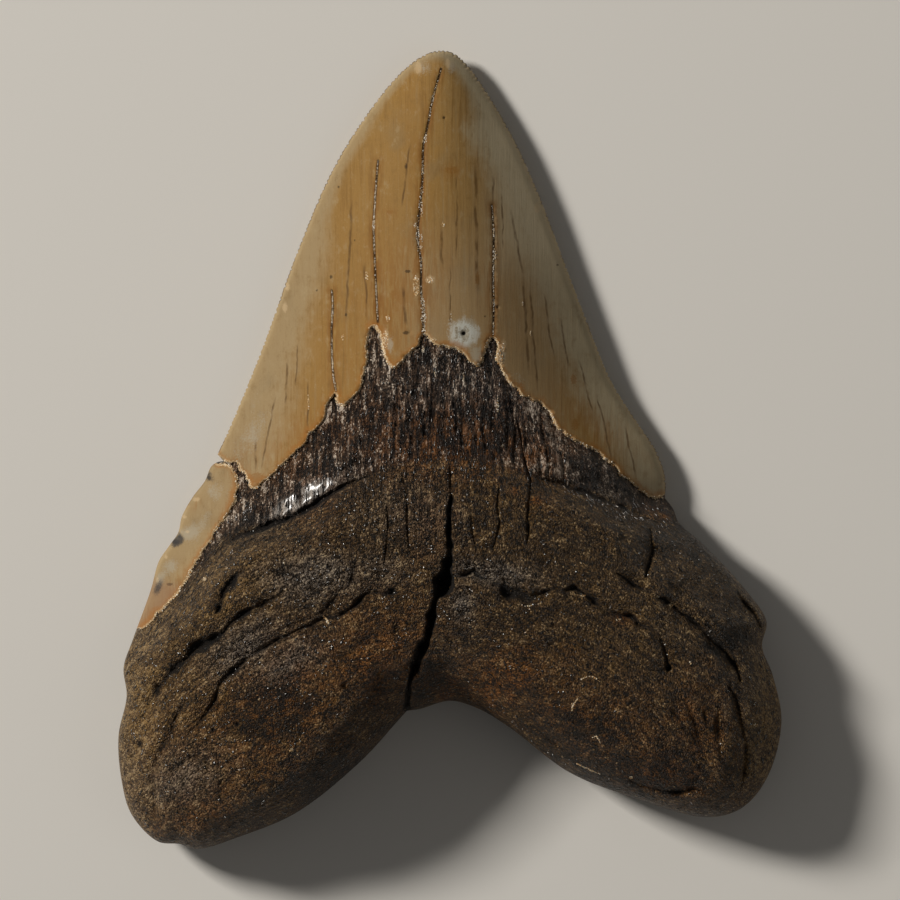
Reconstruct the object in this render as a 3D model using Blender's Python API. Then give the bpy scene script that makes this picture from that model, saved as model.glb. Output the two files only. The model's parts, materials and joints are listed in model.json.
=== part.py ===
"""A fossil megalodon tooth, one natural solid, lying on its flatter labial (lip-side) face.

The tooth is drawn in plan, tip towards +Y, and the two faces are raised from that plan:
the bulging lingual (tongue-side) face upwards and the flatter labial face downwards.
Everything below is in millimetres until the mesh is written in metres.
"""

import math

import bmesh
import bpy
import numpy as np
from mathutils import Vector
from mathutils.geometry import delaunay_2d_cdt

MM = 0.001

# ---------------------------------------------------------------- driving dimensions
ROOT_HEIGHT = 26.0  # top of the root's central bulge, above the table
ROOT_EDGE_LIFT = 7.6  # where the root's rounded edge is widest
CROWN_EDGE_LIFT = 3.3  # the cutting edges, above the table
ENAMEL_STEP = 0.55  # enamel stands this far proud of the dentine band below it
EDGE_HALF_THICKNESS = 0.35  # the cutting edge is a narrow rounded rim
EDGE_ROUNDING = 0.9
LOBE_ROUNDING = 8.6  # how far in from the outline a root lobe stops rounding over
NOTCH_ROUNDING = 4.0  # added to that beside the notch, where the root is thickest
SHOULDER_ROUNDING = 5.0  # and added where the root thins out towards the two shoulders
TIP_ROUNDING = 3.4  # the worn tip rounds over this far in
FEET = ((-37.0, -49.0), (38.0, -45.5), (-1.6, 12.0))  # where the labial face touches the table
FOOT_LIFT = 1.15  # how far the labial face stands off the table between its feet
SERRATION_PITCH = 0.72
SERRATION_DEPTH = 0.2
SERRATION_ROOT = 0.55  # from a serration's point in to where its body merges with the blade

# The crest of the crown and root along the middle: (along the tooth, height).
SPINE = ((-44, 24.6), (-34, 25.6), (-23, 26.0), (-13, 25.0), (-4, 22.6), (6, 20.0), (18, 17.4), (32, 14.2),
         (46, 10.6), (56, 7.6), (61, 5.6), (66, 3.9))
SPINE_ACROSS = ((-45, 0.4), (0, -0.6), (30, -1.9), (64, -1.6))  # where the crest runs: (along, across)

# ---------------------------------------------------------------- outline in plan
ROOT_SIDE = (
    (-36.2, -1.8), (-37.1, -1.9), (-38.2, -2.6), (-39.2, -4.9), (-41.1, -7.4), (-42.9, -10.6), (-43.5, -13.2),
    (-45.0, -15.4), (-46.6, -17.8), (-47.9, -22.4), (-50.7, -30.2), (-52.2, -34.8), (-51.7, -39.3),
    (-53.0, -45.7), (-52.5, -52.9), (-50.9, -58.3), (-46.7, -62.6), (-43.2, -63.0), (-40.4, -63.8),
    (-33.6, -61.8), (-24.6, -58.0), (-14.4, -49.9), (-8.6, -43.6), (-6.9, -41.7),
)
NOTCH_SIDE = (
    (-6.9, -41.7), (-4.8, -41.4), (0.0, -40.1), (4.4, -41.3), (9.6, -44.4), (19.2, -51.6), (30.4, -55.9),
    (40.8, -58.7), (46.4, -57.4), (50.6, -52.6), (53.0, -43.6), (51.6, -36.0), (49.9, -31.4), (50.6, -27.4),
    (47.2, -22.3), (40.5, -15.1), (36.6, -11.6), (35.7, -9.4), (34.4, -7.7),
)
CUTTING_EDGE = (
    (34.4, -7.7), (34.5, -4.6), (33.0, -0.1), (29.8, 4.7), (25.8, 11.1), (21.9, 20.7), (17.9, 31.2), (14.7, 39.8),
    (10.4, 49.5), (6.2, 56.8), (3.0, 61.4), (0.6, 63.5), (-1.6, 63.95), (-4.2, 63.2), (-7.8, 60.5),
    (-13.0, 54.2), (-18.9, 44.7), (-24.9, 30.6), (-29.6, 17.5), (-34.1, 6.3), (-37.2, -0.7),
)
NICK = ((-37.2, -0.7), (-36.2, -1.8))  # the break between the blade and the left shoulder's enamel

# ---------------------------------------------------------------- lines drawn on the lingual face
# Where the enamel ends, from the left corner of the blade to the right shoulder.
ENAMEL_MARGIN = (
    (-37.2, -0.7), (-36.0, -1.7), (-34.1, -2.3), (-33.1, -3.4), (-32.5, -4.7), (-31.5, -6.0), (-30.5, -5.5),
    (-27.2, -2.9), (-24.4, 0.1), (-21.5, 3.4), (-20.2, 4.8), (-19.6, 7.0), (-18.4, 9.0), (-17.8, 7.7),
    (-16.8, 7.4), (-14.2, 9.9), (-13.5, 12.5), (-13.3, 17.0), (-12.8, 19.0), (-12.0, 19.6), (-11.2, 18.9),
    (-10.6, 16.0), (-9.8, 13.8), (-8.7, 13.2), (-7.4, 14.6), (-5.8, 16.3), (-4.9, 17.0), (-4.6, 18.2),
    (-3.9, 18.5), (-2.9, 17.0), (-1.0, 16.6), (1.3, 15.8), (3.0, 14.4), (4.4, 13.5), (5.2, 14.2),
    (6.0, 16.6), (6.6, 17.9), (7.3, 17.4), (7.6, 14.4), (9.2, 11.6), (11.4, 8.8), (13.9, 7.8),
    (15.6, 6.2), (17.0, 3.6), (19.0, 2.1), (24.2, -0.8), (28.2, -4.6), (30.8, -6.6), (32.4, -7.5),
    (34.0, -7.5),
)
# The strip of enamel left on the left shoulder, along its inner side.
SHOULDER_STRIP = (
    (-37.2, -2.1), (-35.3, -2.5), (-34.3, -4.0), (-34.0, -6.4), (-34.5, -8.6), (-36.6, -11.6), (-39.2, -15.5),
    (-41.2, -19.2), (-43.4, -22.6), (-46.2, -25.6), (-49.2, -28.6),
)
# The foot of the fibrous band below the enamel, where the root's bark begins.
BAND_FOOT = (
    (-60.0, -38.0), (-46.4, -26.0), (-41.6, -21.5), (-36.8, -15.4), (-33.0, -12.9), (-28.4, -12.1),
    (-23.4, -10.2), (-17.2, -6.2), (-10.8, -3.3), (-3.2, -1.8), (4.8, -2.0), (12.8, -4.0), (20.4, -6.2),
    (28.0, -8.8), (34.0, -10.2), (40.0, -10.8), (60.0, -8.0),
)
FURROWS = 14  # upright furrows between the fibres of that band
FURROW_SPACING = 2.75
FURROW_DEPTH = 0.42
CHIPS = ((14.9, 39.5, 0.5), (-26.3, 26.6, 0.3), (-27.3, 22.9, 0.3))  # missing from the cutting edge


class Crack:
    """A crack or groove: a line of (x, y, half width) and how deep it cuts."""

    def __init__(self, points, depth):
        self.points = points
        self.depth = depth


ROOT_CRACKS = (
    # the deep split from the nutrient hole down to the notch
    Crack(((0.2, -7.4, 0.2), (-0.2, -12.4, 0.4), (-0.1, -16.6, 0.6), (-0.5, -19.4, 1.2), (-1.0, -21.4, 1.6),
           (-2.3, -24.0, 1.0), (-3.1, -27.0, 0.8), (-3.6, -30.4, 0.9), (-4.9, -33.2, 0.9), (-6.2, -36.0, 0.5),
           (-6.7, -39.6, 0.4), (-6.9, -41.2, 0.5)), 5.5),
    # from the nutrient hole across the right half
    Crack(((0.4, -20.2, 0.3), (3.6, -19.2, 0.3), (6.8, -21.0, 0.3), (9.6, -22.6, 0.7), (12.6, -23.6, 0.8),
           (16.2, -21.8, 0.3), (20.4, -22.8, 0.4), (26.0, -26.4, 0.3), (31.8, -28.8, 0.3), (34.2, -32.4, 0.4),
           (35.0, -35.0, 0.6)), 1.7),
    # the long arc that follows the right lobe
    Crack(((25.2, -19.2, 0.3), (30.6, -22.2, 0.4), (36.0, -25.0, 0.4), (40.8, -28.8, 0.5), (44.8, -33.6, 0.5),
           (46.4, -39.6, 0.3), (47.2, -48.0, 0.2)), 1.5),
    # the upper and lower grooves that follow the left lobe
    Crack(((-27.0, -23.2, 0.4), (-34.2, -27.8, 1.0), (-38.8, -31.0, 1.3), (-42.2, -33.8, 1.1),
           (-45.2, -37.2, 0.8), (-48.2, -42.2, 0.3)), 1.5),
    Crack(((-9.2, -22.6, 0.5), (-14.8, -24.8, 0.5), (-20.8, -27.2, 0.7), (-28.2, -30.6, 0.7),
           (-33.4, -34.8, 0.7), (-37.2, -39.0, 0.6), (-41.0, -44.6, 0.3)), 1.2),
    Crack(((-43.4, -40.6, 0.2), (-45.4, -46.4, 0.3), (-46.6, -53.0, 0.4), (-46.9, -59.0, 0.2)), 0.8),
    # the grooves under the band's two ends
    Crack(((-35.0, -15.4, 0.2), (-32.0, -13.6, 0.5), (-28.0, -11.9, 0.6), (-23.2, -9.6, 0.6), (-20.0, -7.6, 0.4),
           (-16.4, -5.2, 0.1)), 1.0),
    Crack(((13.6, -3.7, 0.1), (21.3, -7.0, 0.4), (26.7, -8.7, 0.5), (31.2, -10.3, 0.2)), 0.8),
    # short ones: high on the left flank, under the band, and along the right lobe's rim
    Crack(((-34.9, -19.6, 0.3), (-35.4, -21.6, 0.5), (-36.4, -24.8, 0.3)), 0.8),
    Crack(((12.6, -4.0, 0.1), (12.5, -9.0, 0.3), (12.2, -13.0, 0.1)), 0.5),
    Crack(((32.0, -12.6, 0.15), (32.2, -15.8, 0.35), (31.5, -18.6, 0.2)), 1.0),
    Crack(((45.9, -23.3, 0.15), (48.0, -26.0, 0.3), (49.4, -28.6, 0.2)), 0.8),
    Crack(((20.8, -49.6, 0.15), (26.7, -52.0, 0.25), (35.2, -54.2, 0.35), (39.0, -54.0, 0.2)), 0.7),
)
# Pits in the bark: (x, y, radius, depth).
ROOT_PITS = ((-9.3, -22.5, 0.9, 1.2), (-33.8, -43.6, 0.6, 0.8), (-37.8, -44.7, 0.5, 0.5), (-49.4, -46.8, 0.8, 0.7),
             (-50.4, -49.2, 0.6, 0.5), (-42.9, -29.2, 0.7, 0.5), (35.0, -35.2, 0.9, 1.1), (10.8, -23.2, 1.5, 1.6))
CROWN_CRACKS = (
    Crack(((-1.3, 60.6, 0.10), (-2.8, 56.6, 0.15), (-3.4, 52.2, 0.20), (-4.5, 44.6, 0.22), (-5.2, 36.0, 0.30),
           (-4.6, 29.0, 0.22), (-4.1, 21.2, 0.30)), 0.5),
    Crack(((-11.6, 45.4, 0.06), (-12.1, 38.8, 0.14), (-12.2, 30.4, 0.18), (-11.8, 20.8, 0.18)), 0.3),
    Crack(((6.9, 41.2, 0.05), (7.0, 27.0, 0.14), (6.8, 18.2, 0.14)), 0.3),
    Crack(((-19.0, 27.4, 0.05), (-18.8, 19.0, 0.12), (-18.5, 9.6, 0.12)), 0.25),
)

# ---------------------------------------------------------------- lines drawn on the labial face
LABIAL_MARGIN = (
    (-49.4, -29.0), (-44.0, -21.0), (-36.0, -14.6), (-24.0, -9.8), (-10.0, -7.2), (4.0, -6.8), (18.0, -8.2),
    (28.0, -9.6), (36.4, -11.0),
)
LABIAL_CRACKS = (
    Crack(((-2.0, -5.8, 0.3), (-1.2, 8.0, 0.25), (-1.6, 24.0, 0.1)), 0.4),
    Crack(((-14.0, -7.4, 0.25), (-12.6, 4.0, 0.2), (-12.0, 14.0, 0.08)), 0.3),
    Crack(((12.0, -6.6, 0.25), (11.0, 6.0, 0.2), (9.4, 18.0, 0.08)), 0.3),
    Crack(((-6.6, -39.4, 0.5), (-5.0, -31.0, 0.4), (-3.0, -23.0, 0.15)), 1.2),
)
LABIAL_PITS = ((-24.0, -14.4, 0.9, 0.9), (-16.6, -12.2, 0.7, 0.7), (-7.6, -11.6, 0.9, 1.0), (5.4, -11.0, 0.8, 0.8),
               (15.2, -12.6, 0.9, 0.9), (24.6, -14.0, 0.7, 0.7), (-31.0, -31.0, 0.8, 0.6), (28.4, -29.0, 0.8, 0.6))

# ---------------------------------------------------------------- mesh fineness
CELL = {"lingual": 2.5, "labial": 3.4}  # spacing of the interior points
OUTLINE_STEP = 2.0
CRACK_STEP = 1.8
MARGIN_STEP = 1.3
RIM_ANGLES = (10, 22, 35, 49, 64, 80)  # the rings that turn over the rim, in degrees


def ease(low, high, value):
    """0 below low, 1 above high, and smooth between."""
    t = np.clip((value - low) / (high - low), 0.0, 1.0)
    return t * t * (3.0 - 2.0 * t)


def through(pairs, at):
    """A smooth curve through (place, value) pairs, read at every place in at."""
    place, value = np.array(pairs, float).T
    slope = np.gradient(value, place)
    i = np.clip(np.searchsorted(place, at) - 1, 0, len(place) - 2)
    span = place[i + 1] - place[i]
    t = np.clip((at - place[i]) / span, 0.0, 1.0)
    near_end = (1 + 2 * t) * (1 - t) ** 2 * value[i] + t * (1 - t) ** 2 * span * slope[i]
    far_end = t * t * (3 - 2 * t) * value[i + 1] + t * t * (t - 1) * span * slope[i + 1]
    return near_end + far_end


def curve_through(points, step):
    """Points about step apart on a smooth curve through the given ones, both ends included."""
    p = np.array(points, float)
    legs = np.linalg.norm(np.diff(p[:, :2], axis=0), axis=1)
    knots = np.concatenate([[0.0], np.cumsum(np.sqrt(legs))])
    dense = np.linspace(0.0, knots[-1], 60 * len(p))
    fine = np.stack([through(list(zip(knots, column)), dense) for column in p.T], axis=1)
    run = np.concatenate([[0.0], np.cumsum(np.linalg.norm(np.diff(fine[:, :2], axis=0), axis=1))])
    count = max(2, round(run[-1] / step) + 1)
    even = np.linspace(0.0, run[-1], count)
    return np.stack([np.interp(even, run, column) for column in fine.T], axis=1)


def nearest_on(line, points):
    """For each point: its distance to a line, how far along it that is, and which side (+1 is left)."""
    line = np.array(line, float)[:, :2]
    best = np.full(len(points), 1e9)
    run = np.zeros(len(points))
    side = np.ones(len(points))
    done = 0.0
    for start, end in zip(line[:-1], line[1:]):
        leg = end - start
        length = max(float(np.hypot(*leg)), 1e-9)
        offset = points - start
        t = np.clip(offset @ leg / length**2, 0.0, 1.0)
        away = offset - t[:, None] * leg
        distance = np.hypot(away[:, 0], away[:, 1])
        closer = distance < best
        best[closer] = distance[closer]
        run[closer] = done + t[closer] * length
        cross = leg[0] * offset[:, 1] - leg[1] * offset[:, 0]
        side[closer] = np.where(cross[closer] >= 0, 1.0, -1.0)
        done += length
    return best, run, side


def inside(ring, points):
    """True for each point inside a closed ring."""
    found = np.zeros(len(points), bool)
    for a, b in zip(ring, np.roll(ring, -1, axis=0)):
        spans = (a[1] > points[:, 1]) != (b[1] > points[:, 1])
        rise = b[1] - a[1] if b[1] != a[1] else 1e-9
        found ^= spans & (points[:, 0] < (b[0] - a[0]) * (points[:, 1] - a[1]) / rise + a[0])
    return found


def quarter_round(t):
    return np.sqrt(np.clip(1.0 - (1.0 - np.clip(t, 0.0, 1.0)) ** 2, 0.0, 1.0))


class Plan:
    """The tooth seen from above: its outline, and where blade, band and root lie."""

    def __init__(self):
        runs = [curve_through(run, 0.7) for run in (ROOT_SIDE, NOTCH_SIDE, CUTTING_EDGE, NICK)]
        self.ring = np.concatenate([run[:-1] for run in runs])
        blade = runs[2]
        tip = int(np.argmax(blade[:, 1]))
        shoulder = curve_through(ROOT_SIDE, 0.7)
        shoulder = shoulder[: int(np.argmax(shoulder[:, 1] < -30.0))]
        self.left = np.concatenate([shoulder[::-1], blade[tip:][::-1]])
        self.right = np.concatenate([[(52.0, -30.0)], blade[: tip + 1]])
        self.enamel = np.concatenate([curve_through(ENAMEL_MARGIN, 0.5), blade[1:-1]])
        strip = curve_through(SHOULDER_STRIP, 0.5)
        self.strip = np.concatenate([strip, [(-56.0, -28.0), (-45.0, -2.0)]])
        self.labial_margin = curve_through(LABIAL_MARGIN, 1.0)
        self.band_foot = curve_through(BAND_FOOT, 1.0)

    def rim_distance(self, points):
        return nearest_on(np.concatenate([self.ring, self.ring[:1]]), points)[0]

    def across(self, points):
        """Signed share of the blade's half width: 0 on the crest, 1 on either cutting edge."""
        crest = through(SPINE_ACROSS, points[:, 1])
        left = np.interp(points[:, 1], self.left[:, 1], self.left[:, 0])
        right = np.interp(points[:, 1], self.right[:, 1], self.right[:, 0])
        offset = points[:, 0] - crest
        width = np.where(offset > 0, right - crest, crest - left)
        return np.clip(offset / np.maximum(width, 0.2), -1.0, 1.0)

    def below_band(self, points):
        """Signed distance past the foot of the band, positive on the root."""
        distance, _, side = nearest_on(self.band_foot, points)
        return -distance * side

    def enamel_depth(self, points, face):
        """Signed distance inside the enamel, positive on it."""
        if face == "labial":
            distance, _, side = nearest_on(self.labial_margin, points)
            return distance * side
        margin = nearest_on(ENAMEL_EDGE, points)[0]
        crown = np.where(inside(self.enamel, points), margin, -margin)
        edge = nearest_on(STRIP_EDGE, points)[0]
        strip = np.where(inside(self.strip, points), edge, -edge)
        return np.maximum(crown, strip)


ENAMEL_EDGE = curve_through(ENAMEL_MARGIN, 0.5)
STRIP_EDGE = curve_through(SHOULDER_STRIP, 0.5)


def crack_cut(crack, points, ledge=0.35):
    """How deep a crack has cut at each point: straight banks down to a narrow floor."""
    line = curve_through(crack.points, 1.0)
    distance, run, _ = nearest_on(line, points)
    legs = np.linalg.norm(np.diff(line[:, :2], axis=0), axis=1)
    width = np.interp(run, np.concatenate([[0.0], np.cumsum(legs)]), line[:, 2])
    widest = line[:, 2].max()
    return crack.depth * (0.35 + 0.65 * width / widest) * (1.0 - ease(0.15 * width, width + ledge, distance))


def pit_cut(pits, points):
    """How deep the pits have cut at each point: each is a blunt cone."""
    cut = np.zeros(len(points))
    for x, y, radius, depth in pits:
        distance = np.hypot(points[:, 0] - x, points[:, 1] - y)
        cut = np.maximum(cut, depth * (1.0 - ease(0.1 * radius, 1.15 * radius, distance)))
    return cut


def band_furrows():
    """Upright furrows from just under the enamel to the band's foot, fanning out slightly."""
    furrows = []
    for number in range(FURROWS):
        x = (number - 0.5 * (FURROWS - 1)) * FURROW_SPACING + 0.5 + 0.35 * math.sin(2.3 * number)
        ys = np.linspace(18.0, -6.0, 97)
        line = np.stack([x * (1.0 - 0.008 * (ys - 4.0)) + 0.25 * np.sin(0.6 * ys + number), ys], axis=1)
        margin = nearest_on(ENAMEL_EDGE, line)
        foot = nearest_on(curve_through(BAND_FOOT, 1.0), line)
        short = 1.2 + 0.9 * (1.0 + math.sin(1.7 * number))
        on_band = (margin[0] > short) & (margin[2] < 0) & (foot[2] > 0) | (foot[0] < 0.8) & (foot[2] < 0)
        line = line[on_band]
        if len(line) > 16:
            width = 0.05 + 0.25 * np.sin(np.linspace(0.0, math.pi, len(line)))
            line = np.column_stack([line, width])[:: len(line) // 4]
            furrows.append(Crack(line, FURROW_DEPTH))
    return tuple(furrows)


LINGUAL_CRACKS = ROOT_CRACKS + CROWN_CRACKS + band_furrows()


def undulation(points):
    """Slow, shallow unevenness, between about -1 and 1."""
    x, y = points.T
    wave = np.sin(0.47 * x + 0.21 * y + 0.8) * np.sin(0.19 * x - 0.43 * y)
    return 0.6 * wave + 0.4 * np.sin(0.83 * x - 0.3 * y + 2.1) * np.sin(0.71 * y + 0.4 * x)


def root_form(points):
    """Height of the root's bark, before its rim is rounded over."""
    x, y = points.T
    arched = y + np.where(x < 0, 0.0088, 0.0076) * x**2  # the root bends down into its lobes
    crest = through(SPINE, np.clip(arched, -44.0, 10.0))
    taper = 1.0 - 0.43 * np.abs(x / 53.0) ** 2.1
    swell = 1.1 * np.exp(-(((x + 30) / 13) ** 2) - ((y + 47) / 11) ** 2)
    swell += 1.1 * np.exp(-(((x - 33) / 14) ** 2) - ((y + 42) / 10) ** 2)
    dip = 1.3 * np.exp(-(((x - 1) / 10) ** 2) - ((y + 36) / 9) ** 2)
    return crest * taper + swell - dip


def lingual_height(plan, points, rim):
    """The bulging upper face."""
    x, y = points.T
    across = plan.across(points)
    below = plan.below_band(points)
    root = ease(-3.5, 5.0, below)
    edge = CROWN_EDGE_LIFT + (ROOT_EDGE_LIFT - CROWN_EDGE_LIFT) * root
    bow = 1.0 - across**2
    tip = 1.0 + (quarter_round(rim / TIP_ROUNDING) - 1.0) * ease(48.0, 60.0, y)
    blade = (through(SPINE, y) - CROWN_EDGE_LIFT) * (0.62 * bow + 0.38 * bow**2) * ease(0.0, 0.5, rim) * tip
    shoulder = ease(18.0, 32.0, np.abs(x)) * (1.0 - ease(0.0, 22.0, below))
    rounding = LOBE_ROUNDING + NOTCH_ROUNDING * np.exp(-((x / 16.0) ** 2)) + SHOULDER_ROUNDING * shoulder
    bark = (root_form(points) - ROOT_EDGE_LIFT) * quarter_round(rim / rounding)
    height = edge + EDGE_HALF_THICKNESS * quarter_round(rim / EDGE_ROUNDING) + blade * (1 - root) + bark * root

    relief = ENAMEL_STEP * ease(-0.3, 0.3, plan.enamel_depth(points, "lingual"))
    flank = ease(9.0, 20.0, np.abs(x + 2.0)) * ease(1.0, 5.0, rim)
    relief += 0.5 * flank * np.exp(-(((below - 2.8) / 1.8) ** 2))  # the lip of bark beyond the band's ends
    relief += 0.3 * undulation(points) * ease(1.0, 5.0, below)
    relief -= pit_cut(ROOT_PITS, points)
    for crack in LINGUAL_CRACKS:
        relief -= crack_cut(crack, points)
    return height + relief * ease(0.0, 1.4, rim)


def labial_height(plan, points, rim):
    """The flatter lower face. It touches the table on the two lobes and at the middle of the blade."""
    x, y = points.T
    across = plan.across(points)
    root = ease(-3.5, 5.0, plan.below_band(points))
    edge = CROWN_EDGE_LIFT + (ROOT_EDGE_LIFT - CROWN_EDGE_LIFT) * root
    hollow = 1.4 * np.exp(-((x / 15.0) ** 2) - ((y + 24) / 12.0) ** 2)
    trough = 0.9 * np.exp(-(((y + 7 + 0.006 * x**2) / 5.0) ** 2))
    curl = 1.3 * ease(36.0, 66.0, y)
    feet = sum(np.exp(-(((x - fx) / 11.0) ** 2) - ((y - fy) / 11.0) ** 2) for fx, fy in FEET)
    base = FOOT_LIFT + hollow + trough + curl - (FOOT_LIFT + 0.4) * feet
    base = base + 0.18 * undulation(points[:, ::-1]) * root
    tip = 1.0 + (quarter_round(rim / TIP_ROUNDING) - 1.0) * ease(48.0, 60.0, y)
    blade = (edge - EDGE_HALF_THICKNESS - base) * (1.0 - np.abs(across) ** 2.2) * ease(0.0, 0.5, rim) * tip
    flat = (edge - EDGE_HALF_THICKNESS - base) * quarter_round(rim / 6.0)
    height = edge - EDGE_HALF_THICKNESS * quarter_round(rim / EDGE_ROUNDING) - blade * (1 - root) - flat * root

    relief = pit_cut(LABIAL_PITS, points) - 0.35 * ease(-0.3, 0.3, plan.enamel_depth(points, "labial"))
    for crack in LABIAL_CRACKS:
        relief += crack_cut(crack, points)
    return np.maximum(height + relief * ease(0.0, 1.4, rim), 0.0)


def inward_of(line):
    """The unit step inwards at each point of a stretch of the outline, which runs anticlockwise."""
    along = np.gradient(line[:, :2], axis=0)
    inward = np.stack([-along[:, 1], along[:, 0]], axis=1)
    return inward / np.maximum(np.linalg.norm(inward, axis=1), 1e-9)[:, None]


def serrated(blade):
    """Scallops the cutting edge: every other point drops back by the depth of a serration."""
    count = np.arange(len(blade))
    fade = ease(2.0, 5.0, np.minimum(count, count[::-1]))
    worn = 1.0 - 0.9 * ease(58.0, 62.0, blade[:, 1])
    drop = SERRATION_DEPTH * (count % 2) * fade * worn
    for x, y, depth in CHIPS:
        drop += depth * np.exp(-(((blade[:, 0] - x) ** 2 + (blade[:, 1] - y) ** 2) / 0.5))
    return blade + inward_of(blade) * drop[:, None]


def outline_rings(plan):
    """The outline, and the rings of points inside it that turn over the rim."""
    root = curve_through(ROOT_SIDE, OUTLINE_STEP)
    notch = curve_through(NOTCH_SIDE, OUTLINE_STEP)
    blade = curve_through(CUTTING_EDGE, SERRATION_PITCH / 2)
    outline = np.concatenate([root[:-1], notch[:-1], serrated(blade)[:-1], np.array(NICK[:1])])
    rings = [(blade + inward_of(blade) * SERRATION_ROOT)[2:-2:2]]
    bark = np.concatenate([root, notch])
    width = LOBE_ROUNDING * ease(-9.0, 4.0, plan.below_band(bark))
    for angle in RIM_ANGLES:
        reach = width * (1.0 - math.cos(math.radians(angle)))
        ring = bark + inward_of(bark) * reach[:, None]
        clear = plan.rim_distance(ring) > 0.93 * reach
        rings.append(ring[clear & (reach > 0.12) & inside(plan.ring, ring)])
    return outline, rings


def offset_lines(line, gaps):
    """Copies of a line moved sideways, one for each gap; a gap may be a number or one per point."""
    along = np.gradient(line[:, :2], axis=0)
    sideways = np.stack([-along[:, 1], along[:, 0]], axis=1)
    sideways /= np.linalg.norm(sideways, axis=1)[:, None]
    return [line[:, :2] + sideways * np.reshape(gap, (-1, 1)) for gap in gaps]


def feature_lines(face):
    """The lines that the mesh's edges follow: the enamel's step and the banks and floor of each crack."""
    margins = (ENAMEL_MARGIN, SHOULDER_STRIP) if face == "lingual" else (LABIAL_MARGIN,)
    cracks = LINGUAL_CRACKS if face == "lingual" else LABIAL_CRACKS
    lines = []
    for margin in margins:
        lines += offset_lines(curve_through(margin, MARGIN_STEP), (-0.3, 0.3))
    for crack in cracks:
        line = curve_through(crack.points, CRACK_STEP)
        bank = line[:, 2] + 0.35
        lines += offset_lines(line, (-bank, 0.0 * bank, bank))
    return lines


def feature_points(face):
    """Single points that the surface needs: the pits, and a row beside each crack."""
    points = []
    for x, y, radius, _ in ROOT_PITS if face == "lingual" else LABIAL_PITS:
        turn = np.arange(6) * math.pi / 3
        ring = np.stack([x + 1.15 * radius * np.cos(turn), y + 1.15 * radius * np.sin(turn)], axis=1)
        points += [ring, [(x, y)]]
    for crack in ROOT_CRACKS + CROWN_CRACKS if face == "lingual" else LABIAL_CRACKS:
        line = curve_through(crack.points, CRACK_STEP)
        beside = line[:, 2] + 1.7
        points += offset_lines(line, (-beside, beside))
    return np.concatenate(points)


def lattice(plan, cell):
    """Interior points on a triangular grid."""
    low, high = plan.ring.min(axis=0), plan.ring.max(axis=0)
    rows = np.arange(low[1], high[1], cell * math.sqrt(3) / 2)
    points = []
    for number, y in enumerate(rows):
        xs = np.arange(low[0] + (number % 2) * cell / 2, high[0], cell)
        points.append(np.stack([xs, np.full(len(xs), y)], axis=1))
    return np.concatenate(points)


def spaced(points, kept, gap):
    """The points that lie at least gap from every kept one."""
    if not len(kept):
        return points
    clear = np.ones(len(points), bool)
    for start in range(0, len(points), 500):
        block = points[start : start + 500]
        squares = ((block[:, None, :] - kept[None, :, :]) ** 2).sum(axis=2)
        clear[start : start + 500] = squares.min(axis=1) > gap**2
    return points[clear]


def triangulated(plan, face, outline, rings):
    """(points in plan, triangles) of one face. The outline and the feature lines are kept as edges."""
    points = [tuple(p) for p in outline]
    edges = [(i, (i + 1) % len(outline)) for i in range(len(outline))]
    features = []
    for line in feature_lines(face):
        keep = inside(plan.ring, line) & (plan.rim_distance(line) > 0.45)
        last = None
        for point, kept in zip(line, keep):
            if kept:
                points.append(tuple(point))
                features.append(point)
                if last is not None:
                    edges.append((last, len(points) - 1))
            last = len(points) - 1 if kept else None
    features = np.array(features)
    cell = CELL[face]
    singles = feature_points(face)
    singles = singles[inside(plan.ring, singles)]
    singles = singles[plan.rim_distance(singles) > 1.0]
    singles = spaced(singles, features, 0.7)
    fixed = np.concatenate([features, singles])
    rings = spaced(rings, fixed, 0.6)
    filling = lattice(plan, cell)
    filling = filling[inside(plan.ring, filling)]
    on_root = ease(-2.0, 3.0, plan.below_band(filling))
    filling = filling[plan.rim_distance(filling) > 1.3 + on_root * (LOBE_ROUNDING - 2.2)]
    filling = spaced(filling, np.concatenate([fixed, rings]), 0.6 * cell)
    points += [tuple(p) for p in np.concatenate([singles, rings, filling])]
    points = [Vector(p) for p in points]
    found = delaunay_2d_cdt(points, edges, [], 1, 1e-5)
    # A triangle with all its corners on the rim would have no thickness, so each gets a point inside.
    flat = [corners for corners in found[2] if max(corners) < len(outline)]
    points += [sum((points[i] for i in corners), Vector((0, 0))) / 3 for corners in flat]
    found = delaunay_2d_cdt(points, edges, [], 1, 1e-5)
    return np.array([tuple(p) for p in found[0]]), found[2]


def build_tooth():
    plan = Plan()
    outline, rings = outline_rings(plan)
    bm = bmesh.new()
    for face, height, used in (("lingual", lingual_height, rings), ("labial", labial_height, rings[::2])):
        flat, triangles = triangulated(plan, face, outline, np.concatenate(used))
        gap = nearest_on(np.concatenate([outline, outline[:1]]), flat)[0]
        rim = np.where(gap < 1e-3, 0.0, np.maximum(plan.rim_distance(flat), 1e-3))
        lift = height(plan, flat, rim)
        verts = [bm.verts.new(Vector((x, y, z)) * MM) for (x, y), z in zip(flat, lift)]
        for corners in triangles:
            corners = corners if face == "lingual" else corners[::-1]
            bm.faces.new([verts[i] for i in corners])
    bmesh.ops.remove_doubles(bm, verts=bm.verts, dist=0.00001)
    low = Vector(tuple(min(v.co[i] for v in bm.verts) for i in range(3)))
    high = Vector(tuple(max(v.co[i] for v in bm.verts) for i in range(3)))
    middle = (low + high) / 2
    bmesh.ops.translate(bm, verts=bm.verts, vec=(-middle.x, -middle.y, -low.z))
    mesh = bpy.data.meshes.new("tooth")
    bm.to_mesh(mesh)
    bm.free()
    print("tooth:", len(mesh.polygons), "triangles, moved by", [round(1000 * c, 2) for c in middle])
    return mesh


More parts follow.
